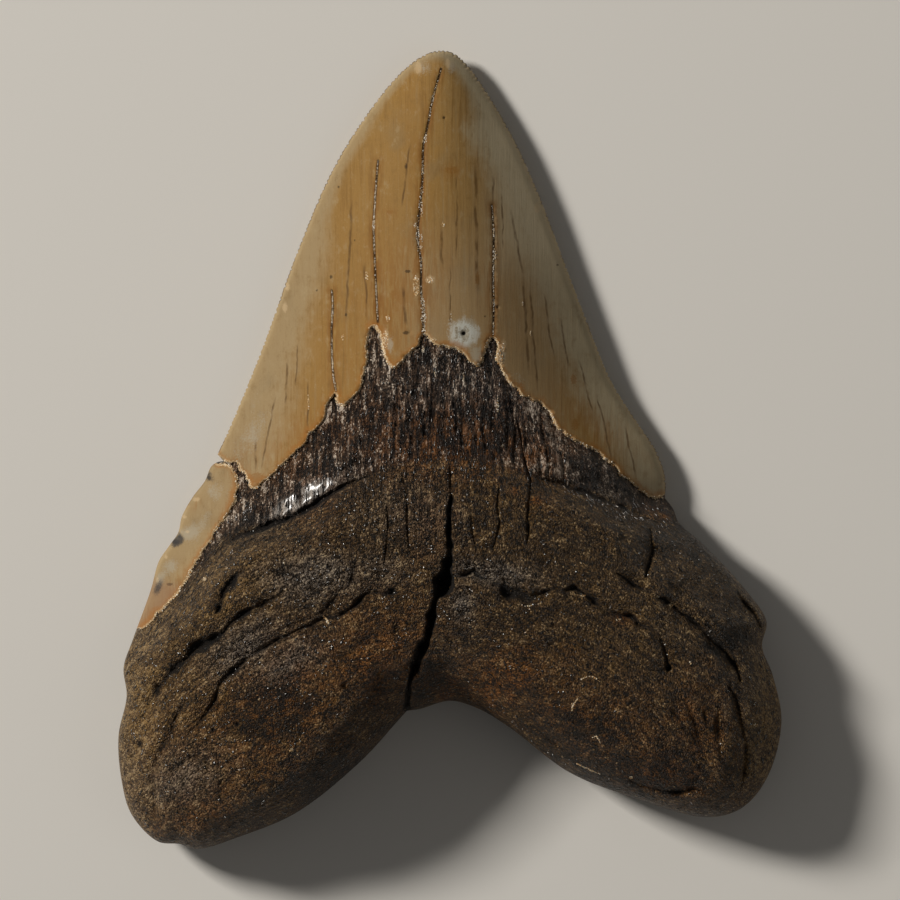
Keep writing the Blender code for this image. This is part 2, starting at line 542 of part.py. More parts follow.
def fossil_material():
    material = bpy.data.materials.new("fossil_tooth")
    material.use_nodes = True
    shader = material.node_tree.nodes["Principled BSDF"]
    shader.inputs["Base Color"].default_value = (0.20, 0.14, 0.085, 1.0)
    shader.inputs["Roughness"].default_value = 0.5
    shader.inputs["Metallic"].default_value = 0.0
    return material


def main():
    for obj in list(bpy.data.objects):
        bpy.data.objects.remove(obj)
    mesh = build_tooth()
    mesh.materials.append(fossil_material())
    mesh.shade_smooth()
    mesh.set_sharp_from_angle(angle=math.radians(40))
    tooth = bpy.data.objects.new("tooth", mesh)
    bpy.context.scene.collection.objects.link(tooth)


main()
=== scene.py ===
# %% [markdown]
# # A fossil megalodon tooth
#
# The tooth is one grown piece of three materials: smooth enamel on the blade, a dark fibrous
# band of dentine below it, and a coarse root. The solid already has its outline, its bulge and
# its main cracks. This notebook lays a finer skin over the same shape, adds the serrations, the
# fibres, the grit and the sand that only a close look shows, and then gives each its finish.
# Every length is in millimetres until a mesh is written.

# %% The frame and its box
import json
import math
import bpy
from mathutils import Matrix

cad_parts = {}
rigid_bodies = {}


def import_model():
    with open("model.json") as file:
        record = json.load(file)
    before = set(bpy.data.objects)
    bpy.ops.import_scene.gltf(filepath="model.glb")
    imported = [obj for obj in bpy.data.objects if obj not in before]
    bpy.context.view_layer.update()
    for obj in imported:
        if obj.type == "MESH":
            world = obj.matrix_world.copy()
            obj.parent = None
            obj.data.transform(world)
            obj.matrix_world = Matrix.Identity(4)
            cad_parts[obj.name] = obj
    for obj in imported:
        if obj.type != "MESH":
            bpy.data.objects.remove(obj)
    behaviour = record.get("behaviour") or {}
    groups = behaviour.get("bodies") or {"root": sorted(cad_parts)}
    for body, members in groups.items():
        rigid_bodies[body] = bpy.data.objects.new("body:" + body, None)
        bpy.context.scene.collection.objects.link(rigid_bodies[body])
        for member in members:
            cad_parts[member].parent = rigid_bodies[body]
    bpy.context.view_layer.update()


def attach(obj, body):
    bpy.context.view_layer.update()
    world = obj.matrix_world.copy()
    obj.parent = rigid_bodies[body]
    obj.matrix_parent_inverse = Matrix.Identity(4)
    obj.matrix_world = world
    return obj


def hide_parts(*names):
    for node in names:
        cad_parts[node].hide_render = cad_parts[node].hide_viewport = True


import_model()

from types import SimpleNamespace

import bpy
import numpy as np
from mathutils import Vector
from mathutils.geometry import delaunay_2d_cdt
from mathutils.kdtree import KDTree

MM = 0.001
PLAN_MOVED = (0.02, -0.11)  # from the drawing of the tooth to the frame

# %% [markdown]
# ## Drawing curves
#
# A grown thing has no straight lines, so each of its lines is a handful of points with a smooth
# curve through them. Blender's own curves could do this, but numbers that can be asked "how far
# is this spot from that line?" shape the height of the surface as well, so they stay in numpy.


# %% Soft steps and smooth curves
def ease(low, high, value):
    """0 below low, 1 above high, and smooth between."""
    t = np.clip((value - low) / (high - low), 0.0, 1.0)
    return t * t * (3.0 - 2.0 * t)


def through(pairs, at):
    """A smooth curve through (place, value) pairs, read at every place in at."""
    place, value = np.array(pairs, float).T
    slope = np.gradient(value, place)
    i = np.clip(np.searchsorted(place, at) - 1, 0, len(place) - 2)
    span = place[i + 1] - place[i]
    t = np.clip((at - place[i]) / span, 0.0, 1.0)
    near_end = (1 + 2 * t) * (1 - t) ** 2 * value[i] + t * (1 - t) ** 2 * span * slope[i]
    far_end = t * t * (3 - 2 * t) * value[i + 1] + t * t * (t - 1) * span * slope[i + 1]
    return near_end + far_end


def curve_through(points, step):
    """Points about step apart on a smooth curve through the given ones, both ends included."""
    p = np.array(points, float)
    legs = np.linalg.norm(np.diff(p[:, :2], axis=0), axis=1)
    knots = np.concatenate([[0.0], np.cumsum(np.sqrt(legs))])
    dense = np.linspace(0.0, knots[-1], 60 * len(p))
    fine = np.stack([through(list(zip(knots, column)), dense) for column in p.T], axis=1)
    run = np.concatenate([[0.0], np.cumsum(np.linalg.norm(np.diff(fine[:, :2], axis=0), axis=1))])
    even = np.linspace(0.0, run[-1], max(2, round(run[-1] / step) + 1))
    return np.stack([np.interp(even, run, column) for column in fine.T], axis=1)


bend = curve_through([(0.0, 0.0), (1.0, 1.0), (2.0, 0.0)], 0.5)
print("half way up a soft step:", float(ease(0.0, 1.0, 0.5)), "and a bend in", len(bend), "points")


# %% Runs, distances and sides
def left_of(line):
    """The unit step to the left at each point of a line, inwards on an anticlockwise outline."""
    along = np.gradient(line[:, :2], axis=0)
    step = np.stack([-along[:, 1], along[:, 0]], axis=1)
    return step / np.maximum(np.linalg.norm(step, axis=1), 1e-9)[:, None]


def run_of(line):
    """How far along a line each of its points is."""
    return np.concatenate([[0.0], np.cumsum(np.linalg.norm(np.diff(line[:, :2], axis=0), axis=1))])


def nearest_on(line, points):
    """For each point: its distance to a line, how far along that is, and the side (+1 is left)."""
    line = np.array(line, float)[:, :2]
    best = np.full(len(points), 1e9)
    run = np.zeros(len(points))
    side = np.ones(len(points))
    done = 0.0
    for start, end in zip(line[:-1], line[1:]):
        leg = end - start
        length = max(float(np.hypot(*leg)), 1e-9)
        offset = points - start
        t = np.clip(offset @ leg / length**2, 0.0, 1.0)
        away = offset - t[:, None] * leg
        distance = np.hypot(away[:, 0], away[:, 1])
        closer = distance < best
        best[closer] = distance[closer]
        run[closer] = done + t[closer] * length
        cross = leg[0] * offset[:, 1] - leg[1] * offset[:, 0]
        side[closer] = np.where(cross[closer] >= 0, 1.0, -1.0)
        done += length
    return best, run, side


def inside(ring, points):
    """True for each point inside a closed ring."""
    found = np.zeros(len(points), bool)
    for a, b in zip(ring, np.roll(ring, -1, axis=0)):
        spans = (a[1] > points[:, 1]) != (b[1] > points[:, 1])
        rise = b[1] - a[1] if b[1] != a[1] else 1e-9
        found ^= spans & (points[:, 0] < (b[0] - a[0]) * (points[:, 1] - a[1]) / rise + a[0])
    return found


print("length of that bend:", round(run_of(bend)[-1], 2))
print("a spot's distance to it, run and side:", *nearest_on(bend, np.array([[1.0, 0.0]])))


# %% Rounded rims, random hills and frayed edges
def quarter_round(t):
    return np.sqrt(np.clip(1.0 - (1.0 - np.clip(t, 0.0, 1.0)) ** 2, 0.0, 1.0))


def hills(u, v, seed):
    """Smooth random hills between 0 and 1, about one for each unit of u and v."""
    table = np.random.default_rng(seed).random((128, 128))
    i, j = np.floor(u).astype(int), np.floor(v).astype(int)
    s, t = ease(0.0, 1.0, u - i), ease(0.0, 1.0, v - j)
    low = table[i % 128, j % 128] * (1 - s) + table[(i + 1) % 128, j % 128] * s
    high = table[i % 128, (j + 1) % 128] * (1 - s) + table[(i + 1) % 128, (j + 1) % 128] * s
    return low * (1 - t) + high * t


def frayed(points, step, reach, seed):
    """A smooth curve through the points with a ragged edge, whose two ends stay put."""
    line = curve_through(points, step)
    run = run_of(line)
    nudge = hills(run / 1.15, 0 * run, seed) + 0.55 * hills(run / 0.5, 0 * run, seed + 1) - 0.775
    ends = ease(0.0, 1.0, run) * ease(0.0, 1.0, run[-1] - run)
    return line[:, :2] + left_of(line) * (reach * nudge * ends)[:, None]


print("one spot's height in random hills:", round(float(hills(0.5, 0.5, 1)), 3))

# %% [markdown]
# ## The tooth's plan
#
# Seen from above, the tooth is one outline with a few lines drawn on it: where the enamel ends,
# where the fibrous band meets the root's bark, and the cracks. These are the solid's own lines,
# repeated here so that the finer skin follows them exactly.

# %% The outline, tip towards +Y
ROOT_SIDE = (
    (-36.2, -1.8), (-37.1, -1.9), (-38.2, -2.6), (-39.2, -4.9), (-41.1, -7.4), (-42.9, -10.6),
    (-43.5, -13.2), (-45.0, -15.4), (-46.6, -17.8), (-47.9, -22.4), (-50.7, -30.2), (-52.2, -34.8),
    (-51.7, -39.3), (-53.0, -45.7), (-52.5, -52.9), (-50.9, -58.3), (-46.7, -62.6), (-43.2, -63.0),
    (-40.4, -63.8), (-33.6, -61.8), (-24.6, -58.0), (-14.4, -49.9), (-8.6, -43.6), (-6.9, -41.7),
)
NOTCH_SIDE = (
    (-6.9, -41.7), (-4.8, -41.4), (0.0, -40.1), (4.4, -41.3), (9.6, -44.4), (19.2, -51.6),
    (30.4, -55.9), (40.8, -58.7), (46.4, -57.4), (50.6, -52.6), (53.0, -43.6), (51.6, -36.0),
    (49.9, -31.4), (50.6, -27.4), (47.2, -22.3), (40.5, -15.1), (36.6, -11.6), (35.7, -9.4),
    (34.4, -7.7),
)
CUTTING_EDGE = (
    (34.4, -7.7), (34.5, -4.6), (33.0, -0.1), (29.8, 4.7), (25.8, 11.1), (21.9, 20.7), (17.9, 31.2),
    (14.7, 39.8), (10.4, 49.5), (6.2, 56.8), (3.0, 61.4), (0.6, 63.5), (-1.6, 63.95), (-4.2, 63.2),
    (-7.8, 60.5), (-13.0, 54.2), (-18.9, 44.7), (-24.9, 30.6), (-29.6, 17.5), (-34.1, 6.3),
    (-37.2, -0.7),
)
NICK = ((-37.2, -0.7), (-36.2, -1.8))
SERRATION_PITCH = 0.72
print("points round the outline:", sum(map(len, (ROOT_SIDE, NOTCH_SIDE, CUTTING_EDGE, NICK))))

# %% The lines on the upper, lingual face
ENAMEL_MARGIN = (
    (-37.2, -0.7), (-36.0, -1.7), (-34.1, -2.3), (-33.1, -3.4), (-32.5, -4.7), (-31.5, -6.0),
    (-30.5, -5.5), (-27.2, -2.9), (-24.4, 0.1), (-21.5, 3.4), (-20.2, 4.8), (-19.6, 7.0),
    (-18.4, 9.0), (-17.8, 7.7), (-16.8, 7.4), (-14.2, 9.9), (-13.5, 12.5), (-13.3, 17.0),
    (-12.8, 19.0), (-12.0, 19.6), (-11.2, 18.9), (-10.6, 16.0), (-9.8, 13.8), (-8.7, 13.2),
    (-7.4, 14.6), (-5.8, 16.3), (-4.9, 17.0), (-4.6, 18.2), (-3.9, 18.5), (-2.9, 17.0),
    (-1.0, 16.6), (1.3, 15.8), (3.0, 14.4), (4.4, 13.5), (5.2, 14.2), (6.0, 16.6), (6.6, 17.9),
    (7.3, 17.4), (7.6, 14.4), (9.2, 11.6), (11.4, 8.8), (13.9, 7.8), (15.6, 6.2), (17.0, 3.6),
    (19.0, 2.1), (24.2, -0.8), (28.2, -4.6), (30.8, -6.6), (32.4, -7.5), (34.0, -7.5),
)
SHOULDER_STRIP = (
    (-37.2, -2.1), (-35.3, -2.5), (-34.3, -4.0), (-34.0, -6.4), (-34.5, -8.6), (-36.6, -11.6),
    (-39.2, -15.5), (-41.2, -19.2), (-43.4, -22.6), (-46.2, -25.6), (-49.2, -28.6),
)
BAND_FOOT = (
    (-60.0, -38.0), (-46.4, -26.0), (-41.6, -21.5), (-36.8, -15.4), (-33.0, -12.9), (-28.4, -12.1),
    (-23.4, -10.2), (-17.2, -6.2), (-10.8, -3.3), (-3.2, -1.8), (4.8, -2.0), (12.8, -4.0),
    (20.4, -6.2), (28.0, -8.8), (34.0, -10.2), (40.0, -10.8), (60.0, -8.0),
)
SPINE = (
    (-44, 24.6), (-34, 25.6), (-23, 26.0), (-13, 25.0), (-4, 22.6), (6, 20.0), (18, 17.4),
    (32, 14.2), (46, 10.6), (56, 7.6), (61, 5.6), (66, 3.9),
)
SPINE_ACROSS = ((-45, 0.4), (0, -0.6), (30, -1.9), (64, -1.6))
print("highest point of the spine:", max(height for _, height in SPINE), "mm")

# %% The cracks and pits of the lingual face
# Each crack is a line of (x, y, half width), then its depth and the reach of the valley round it.
ROOT_CRACKS = (
    (((0.2, -7.4, 0.2), (-0.2, -12.4, 0.45), (-0.1, -16.6, 0.55), (-0.5, -19.4, 1.1),
      (-1.0, -21.4, 1.5), (-2.3, -24.0, 0.6), (-2.9, -27.0, 0.75), (-3.7, -30.4, 0.75),
      (-5.2, -33.2, 0.8), (-6.2, -36.0, 0.45), (-6.7, -39.6, 0.4), (-6.9, -41.2, 0.5)), 5.5, 0.0),
    (((0.6, -20.3, 0.4), (2.6, -19.8, 0.45), (3.8, -19.2, 0.4), (4.8, -20.2, 0.4),
      (6.4, -20.8, 0.45), (8.2, -21.6, 0.5), (9.4, -22.8, 1.0), (11.2, -23.0, 0.9),
      (12.6, -23.6, 0.75), (14.2, -23.2, 0.4), (15.7, -22.4, 0.35), (17.0, -22.0, 0.15)), 1.9, 1.3),
    (((18.6, -22.4, 0.3), (19.8, -21.9, 0.5), (20.6, -22.4, 0.25)), 1.3, 1.0),
    (((20.8, -22.6, 0.25), (22.4, -23.4, 0.45), (23.5, -24.7, 0.4), (25.6, -26.1, 0.35),
      (27.4, -26.4, 0.25), (29.1, -26.6, 0.4), (30.2, -27.7, 0.45), (31.4, -28.2, 0.35),
      (32.6, -29.0, 0.25)), 1.3, 1.1),
    (((33.6, -30.2, 0.15), (34.2, -31.9, 0.25), (34.6, -33.4, 0.3), (34.9, -34.6, 0.4)), 1.1, 1.2),
    (((26.6, -19.6, 0.1), (27.6, -20.2, 0.2), (29.4, -21.5, 0.3), (30.8, -22.3, 0.25),
      (32.0, -22.8, 0.1)), 1.2, 1.1),
    (((33.1, -23.4, 0.2), (34.3, -24.0, 0.35), (35.8, -25.2, 0.3), (37.0, -26.1, 0.25),
      (38.4, -27.0, 0.4), (39.8, -28.2, 0.4), (41.9, -30.5, 0.35), (43.4, -31.9, 0.3),
      (44.8, -33.7, 0.45), (45.7, -34.9, 0.35), (46.2, -36.8, 0.15)), 1.5, 1.3),
    (((44.5, -37.8, 0.1), (45.7, -40.1, 0.25), (46.2, -42.4, 0.2), (46.6, -44.7, 0.2),
      (47.0, -47.1, 0.3), (47.1, -49.0, 0.3), (46.6, -53.5, 0.1)), 1.0, 1.1),
    (((-26.7, -22.6, 0.1), (-28.8, -24.1, 0.25), (-30.7, -25.0, 0.4), (-32.3, -25.8, 0.5),
      (-33.9, -26.8, 0.5), (-35.2, -27.8, 0.5), (-36.5, -29.2, 0.65), (-38.1, -30.4, 1.0),
      (-40.0, -31.4, 1.0), (-41.1, -32.4, 0.65), (-42.1, -33.4, 0.55), (-43.2, -34.5, 0.7),
      (-44.5, -35.8, 0.75), (-45.5, -37.0, 0.6), (-46.7, -38.2, 0.45), (-47.5, -39.4, 0.3),
      (-49.1, -42.5, 0.1)), 1.9, 1.5),
    (((-8.4, -22.9, 0.1), (-10.4, -22.9, 0.25), (-12.8, -22.8, 0.2), (-14.4, -24.1, 0.35),
      (-16.0, -25.4, 0.45), (-17.9, -26.6, 0.5), (-20.0, -26.7, 0.5), (-22.1, -27.8, 0.4),
      (-24.0, -28.6, 0.3), (-26.1, -29.7, 0.2), (-27.8, -30.5, 0.35), (-29.6, -31.6, 0.35),
      (-31.7, -32.9, 0.35), (-33.6, -34.5, 0.4), (-35.7, -36.4, 0.5), (-36.8, -37.7, 0.4),
      (-37.6, -40.1, 0.3), (-38.4, -41.2, 0.25), (-40.0, -43.6, 0.15), (-41.6, -45.0, 0.1)),
     1.35, 1.4),
    (((-16.8, -21.2, 0.1), (-18.6, -24.0, 0.2), (-20.4, -26.0, 0.3)), 0.7, 0.9),
    (((-34.0, -19.8, 0.2), (-34.6, -21.0, 0.75), (-35.8, -22.6, 0.5), (-36.6, -24.6, 0.6),
      (-37.2, -26.0, 0.3)), 1.4, 1.2),
    (((-41.9, -39.8, 0.15), (-42.9, -41.2, 0.35), (-44.0, -43.6, 0.3), (-44.5, -45.7, 0.35),
      (-45.9, -47.3, 0.4), (-47.2, -50.2, 0.3), (-47.4, -54.4, 0.35), (-47.0, -58.6, 0.2)),
     1.1, 1.0),
    (((-35.0, -15.0, 0.2), (-33.6, -13.8, 0.4), (-30.1, -12.5, 0.5), (-25.6, -10.9, 0.55),
      (-22.4, -9.3, 0.55), (-19.2, -7.2, 0.4), (-16.0, -5.4, 0.25), (-12.4, -4.0, 0.1)), 1.5, 0.7),
    (((13.2, -4.2, 0.15), (16.6, -5.1, 0.3), (19.4, -6.1, 0.4), (24.6, -8.0, 0.45),
      (29.8, -10.3, 0.4), (33.0, -11.6, 0.2)), 1.3, 0.7),
    (((10.4, 5.6, 0.08), (11.1, 3.0, 0.12), (11.9, -1.7, 0.15), (12.8, -4.6, 0.12),
      (12.7, -7.2, 0.12), (12.35, -10.8, 0.18), (12.5, -13.2, 0.15), (12.2, -15.0, 0.08)),
     0.7, 0.35),
    (((7.8, -5.6, 0.08), (7.6, -9.0, 0.14), (7.9, -11.6, 0.16), (6.8, -16.0, 0.08)), 0.55, 0.35),
    (((-7.8, -3.0, 0.08), (-6.9, -8.0, 0.12), (-6.8, -11.6, 0.16), (-6.4, -16.6, 0.08)), 0.5, 0.35),
    (((-13.2, 0.0, 0.08), (-13.4, -6.0, 0.16), (-12.8, -11.0, 0.08)), 0.5, 0.35),
    (((0.0, -2.6, 0.1), (0.1, -5.6, 0.15), (0.2, -7.6, 0.2)), 0.7, 0.5),
    (((3.4, -9.0, 0.08), (3.6, -13.0, 0.14), (4.4, -17.0, 0.08)), 0.4, 0.35),
    (((-10.2, -7.0, 0.08), (-9.9, -12.0, 0.14), (-10.4, -18.0, 0.08)), 0.4, 0.35),
    (((-26.6, -17.4, 0.1), (-26.2, -19.6, 0.2), (-25.8, -22.6, 0.1)), 0.6, 0.6),
    (((-14.8, -16.8, 0.1), (-15.4, -19.6, 0.2), (-16.2, -22.0, 0.1)), 0.6, 0.6),
    (((31.9, -12.6, 0.1), (32.1, -14.8, 0.3), (32.2, -16.2, 0.45), (31.7, -18.3, 0.25),
      (31.2, -20.2, 0.1)), 1.1, 0.9),
    (((45.9, -23.0, 0.15), (47.1, -24.7, 0.3), (48.6, -26.4, 0.35), (49.4, -28.2, 0.25)), 1.1, 1.0),
    (((28.5, -52.6, 0.1), (30.6, -53.5, 0.2), (34.3, -54.4, 0.3), (37.2, -54.4, 0.45),
      (39.0, -54.2, 0.35), (40.4, -54.6, 0.1)), 0.9, 0.8),
    (((10.9, -41.9, 0.1), (13.0, -43.9, 0.3), (15.4, -45.8, 0.2), (20.0, -49.0, 0.1)), 0.6, 0.9),
    (((37.8, -40.6, 0.2), (38.8, -43.0, 0.7), (39.4, -45.4, 0.2)), 0.5, 0.8),
    (((40.6, -41.6, 0.15), (41.0, -44.4, 0.3)), 0.5, 0.6),
    (((42.8, -41.0, 0.15), (42.9, -45.0, 0.5), (43.1, -49.2, 0.15)), 0.45, 0.6),
)
# Each pit is (x, y, radius, depth).
ROOT_PITS = (
    (-9.2, -22.5, 0.75, 1.3), (-33.8, -43.7, 0.6, 1.0), (-37.8, -44.6, 0.5, 0.8),
    (-49.6, -46.9, 0.7, 0.9), (-50.7, -48.9, 0.5, 0.6), (-42.7, -29.2, 0.8, 0.5),
    (34.9, -34.8, 0.6, 1.3), (-36.8, -25.2, 0.6, 0.8),
)
CROWN_PITS = (
    (2.2, 18.6, 0.34, 0.6), (-6.4, 18.7, 0.22, 0.15), (7.6, 22.7, 0.2, 0.15),
    (-0.8, 53.0, 0.2, 0.12),
)
CROWN_CRACKS = (
    (((-1.4, 61.0, 0.05), (-2.2, 58.3, 0.08), (-2.9, 55.6, 0.12), (-3.7, 51.1, 0.15),
      (-4.2, 49.2, 0.18), (-4.4, 43.1, 0.22), (-4.8, 38.3, 0.27), (-5.1, 35.4, 0.34),
      (-5.0, 32.6, 0.27), (-4.6, 30.0, 0.22), (-4.6, 25.5, 0.16), (-4.3, 23.1, 0.26),
      (-4.2, 20.6, 0.34), (-4.2, 18.2, 0.26)), 0.5),
    (((-11.5, 46.3, 0.03), (-11.8, 42.3, 0.06), (-12.2, 35.9, 0.12), (-12.0, 30.3, 0.09),
      (-11.7, 23.9, 0.09), (-11.5, 20.4, 0.09)), 0.2),
    (((6.7, 39.1, 0.03), (6.9, 36.4, 0.06), (7.0, 31.9, 0.10), (6.9, 27.9, 0.10), (7.0, 23.4, 0.11),
      (6.9, 18.3, 0.08)), 0.2),
    (((-18.9, 25.5, 0.04), (-18.7, 23.1, 0.08), (-18.9, 19.1, 0.12), (-18.7, 12.7, 0.09),
      (-18.2, 9.4, 0.09)), 0.2),
)
print("drawn:", len(ROOT_CRACKS), "cracks and", len(ROOT_PITS), "pits in the root,",
      len(CROWN_CRACKS), "and", len(CROWN_PITS), "in the crown")

# %% The lines on the lower, labial face
LABIAL_MARGIN = (
    (-49.4, -29.0), (-44.0, -21.0), (-36.0, -14.6), (-24.0, -9.8), (-10.0, -7.2), (4.0, -6.8),
    (18.0, -8.2), (28.0, -9.6), (36.4, -11.0),
)
LABIAL_CRACKS = (
    (((-2.0, -5.8, 0.3), (-1.2, 8.0, 0.25), (-1.6, 24.0, 0.1)), 0.4),
    (((-14.0, -7.4, 0.25), (-12.6, 4.0, 0.2), (-12.0, 14.0, 0.08)), 0.3),
    (((12.0, -6.6, 0.25), (11.0, 6.0, 0.2), (9.4, 18.0, 0.08)), 0.3),
    (((-6.6, -39.4, 0.5), (-5.0, -31.0, 0.4), (-3.0, -23.0, 0.15)), 1.2),
)
LABIAL_PITS = (
    (-24.0, -14.4, 0.9, 0.9), (-16.6, -12.2, 0.7, 0.7), (-7.6, -11.6, 0.9, 1.0),
    (5.4, -11.0, 0.8, 0.8), (15.2, -12.6, 0.9, 0.9), (24.6, -14.0, 0.7, 0.7),
    (-31.0, -31.0, 0.8, 0.6), (28.4, -29.0, 0.8, 0.6),
)
print("drawn below:", len(LABIAL_CRACKS), "cracks and", len(LABIAL_PITS), "pits")

# %% [markdown]
# ## Questions to ask the plan
#
# The heights and the finishes both need to know where a spot lies: how far in from the rim, how
# far across the blade, on the enamel or below it. One small class answers each question for
# many thousands of spots at once.


# %% The plan and its questions
class Plan:
    """The tooth seen from above: its outline, and where blade, band and root lie."""

    def __init__(self):
        runs = [curve_through(run, 0.7) for run in (ROOT_SIDE, NOTCH_SIDE, CUTTING_EDGE, NICK)]
        self.ring = np.concatenate([run[:-1] for run in runs])
        blade = runs[2]
        tip = int(np.argmax(blade[:, 1]))
        shoulder = runs[0][(runs[0][:, 1] > -30.0) & (runs[0][:, 1] < -5.5)]
        self.left = np.concatenate([shoulder[::-1], blade[tip:][::-1]])
        self.right = np.concatenate([[(52.0, -30.0)], blade[: tip + 1]])
        self.margin = frayed(ENAMEL_MARGIN, 0.25, 0.5, 61)
        self.enamel = np.concatenate([self.margin, blade[1:-1]])
        self.strip_edge = frayed(SHOULDER_STRIP, 0.25, 0.35, 65)
        self.strip = np.concatenate([self.strip_edge, [(-56.0, -28.0), (-45.0, -2.0)]])
        self.labial_margin = curve_through(LABIAL_MARGIN, 1.0)
        self.band_foot = curve_through(BAND_FOOT, 1.0)

    def rim_distance(self, points):
        return nearest_on(np.concatenate([self.ring, self.ring[:1]]), points)[0]

    def across(self, points):
        """Signed share of the blade's half width: 0 on the crest, 1 on either cutting edge."""
        crest = through(SPINE_ACROSS, points[:, 1])
        left = np.interp(points[:, 1], self.left[:, 1], self.left[:, 0])
        right = np.interp(points[:, 1], self.right[:, 1], self.right[:, 0])
        offset = points[:, 0] - crest
        width = np.where(offset > 0, right - crest, crest - left)
        return np.clip(offset / np.maximum(width, 0.2), -1.0, 1.0)

    def below_band(self, points):
        """Signed distance past the foot of the band, positive on the root."""
        distance, _, side = nearest_on(self.band_foot, points)
        return -distance * side

    def enamel_depth(self, points, face):
        """Signed distance inside the enamel, positive on it."""
        if face == "labial":
            distance, _, side = nearest_on(self.labial_margin, points)
            return distance * side
        margin = nearest_on(self.margin, points)[0]
        crown = np.where(inside(self.enamel, points), margin, -margin)
        edge = nearest_on(self.strip_edge, points)[0]
        strip = np.where(inside(self.strip, points), edge, -edge)
        return np.maximum(crown, strip)


plan = Plan()
margin_length = run_of(plan.margin)[-1]
print("outline:", len(plan.ring), "points, enamel margin:", round(margin_length, 1), "mm long")

# %% [markdown]
# ## Cracks that wander
#
# A real crack is ragged: it wavers, pinches and gapes. Each crack's line is redrawn with a point
# every half millimetre, nudged sideways and widened or narrowed by smooth random hills. The same
# ragged line then cuts the surface, guides the mesh's edges and later holds the sand.

# %% Ragged cracks
CRACK_STEP = 0.5
SEEDS_APART = 7  # each crack draws from a few seeds of its own
HAIRLINE = 0.19  # half width in mm


class Crack:
    """A ragged line of (x, y, half width), how deep it cuts, and the shallow valley it lies in."""

    def __init__(self, points, depth, seed, valley=0.0, ledge=0.35, waver=0.3):
        line = curve_through(points, CRACK_STEP)
        run, sideways = run_of(line), left_of(line)
        nudge = hills(run / 1.9, 0 * run, seed) + 0.6 * hills(run / 0.8, 0 * run, seed + 1) - 0.8
        reach = waver * np.minimum(1.0, 2.0 * line[:, 2])
        line[:, :2] += sideways * (reach * nudge)[:, None]
        line[:, 2] *= 0.5 + hills(run / 1.3, 0 * run, seed + 2)
        self.line, self.run, self.sideways = line, run, sideways
        self.depth, self.seed, self.valley, self.ledge = depth, seed, valley, ledge

    def cut(self, points, core_only=False):
        """How deep it has cut at each point: ragged banks down to a narrow, uneven floor."""
        deep = np.zeros(len(points))
        reach = self.line[:, 2].max() + self.ledge + 0.3 + 2.2 * self.valley
        low, high = self.line[:, :2].min(axis=0) - reach, self.line[:, :2].max(axis=0) + reach
        near = np.flatnonzero(((points > low) & (points < high)).all(axis=1))
        if len(near):
            distance, run, _ = nearest_on(self.line, points[near])
            x, y = points[near].T
            fray = distance + 0.7 * self.ledge * (hills(x * 1.7, y * 1.7, self.seed + 3) - 0.5)
            width = np.interp(run, self.run, self.line[:, 2])
            share = 0.25 + 0.75 * width / self.line[:, 2].max()
            share *= 0.6 + 0.4 * ease(0.15, 0.55, hills(run / 2.4, 0 * run, self.seed + 4))
            deep[near] = self.depth * share * (1.0 - ease(0.1 * width, width + self.ledge, fray))
            if self.valley:
                deep[near] *= 0.8
            if self.valley and not core_only:
                ends = ease(0.0, 3.0, run) * ease(0.0, 3.0, self.run[-1] - run)
                bowl = np.exp(-((distance / self.valley) ** 2)) * ends
                deep[near] += (0.1 + 0.42 * self.depth) * bowl
        return deep

    def offsets(self, extra=0.0):
        """Copies of the line along its two banks."""
        bank = (self.line[:, 2] + extra)[:, None]
        return [self.line[:, :2] - self.sideways * bank, self.line[:, :2] + self.sideways * bank]


def cracks_of(given, first_seed, **shape):
    return [Crack(points, depth, first_seed + SEEDS_APART * number, **shape)
            for number, (points, depth) in enumerate(given)]


def ledge_of(points):
    """A wide crack's banks have crumbled, a hairline's are sharp."""
    return 0.2 if max(width for _, _, width in points) > HAIRLINE else 0.1


root_cracks = [Crack(points, depth, 100 + SEEDS_APART * number, valley, ledge=ledge_of(points))
               for number, (points, depth, valley) in enumerate(ROOT_CRACKS)]
crown_cracks = cracks_of(CROWN_CRACKS, 400, ledge=0.06, waver=0.15)
labial_cracks = cracks_of(LABIAL_CRACKS, 600)
print(len(root_cracks), "cracks in the root and", len(crown_cracks), "in the crown")


# %% Upright furrows in the band
FURROWS = 25
FURROW_SPACING = 1.62
FURROW_DEPTH = 0.5
FURROW_POINTS = 16  # a furrow with no more points than this is left out


def band_furrows():
    """Furrows from just under the enamel to the band's foot, fanning out slightly."""
    furrows = []
    for number in range(FURROWS):
        x = (number - 0.5 * (FURROWS - 1)) * FURROW_SPACING + 0.5 + 0.4 * math.sin(2.3 * number)
        ys = np.linspace(18.0, -6.0, 97)
        xs = x * (1.0 - 0.008 * (ys - 4.0)) + 0.25 * np.sin(0.6 * ys + number)
        line = np.stack([xs, ys], axis=1)
        margin, foot = nearest_on(plan.margin, line), nearest_on(plan.band_foot, line)
        short = 1.0 + 1.9 * (1.0 + math.sin(1.7 * number))
        on_band = (margin[0] > short) & (margin[2] < 0) & (foot[2] > 0)
        line = line[on_band | (foot[0] < 0.8) & (foot[2] < 0)]
        if len(line) > FURROW_POINTS:
            width = 0.05 + (0.1 + 0.1 * (number % 3)) * np.sin(np.linspace(0.0, math.pi, len(line)))
            line = np.column_stack([line, width])[:: len(line) // 4]
            seed = 800 + SEEDS_APART * number
            furrows.append(Crack(line, FURROW_DEPTH, seed, ledge=0.25, waver=0.5))
    return furrows


furrows = band_furrows()
print(len(furrows), "furrows in the band")


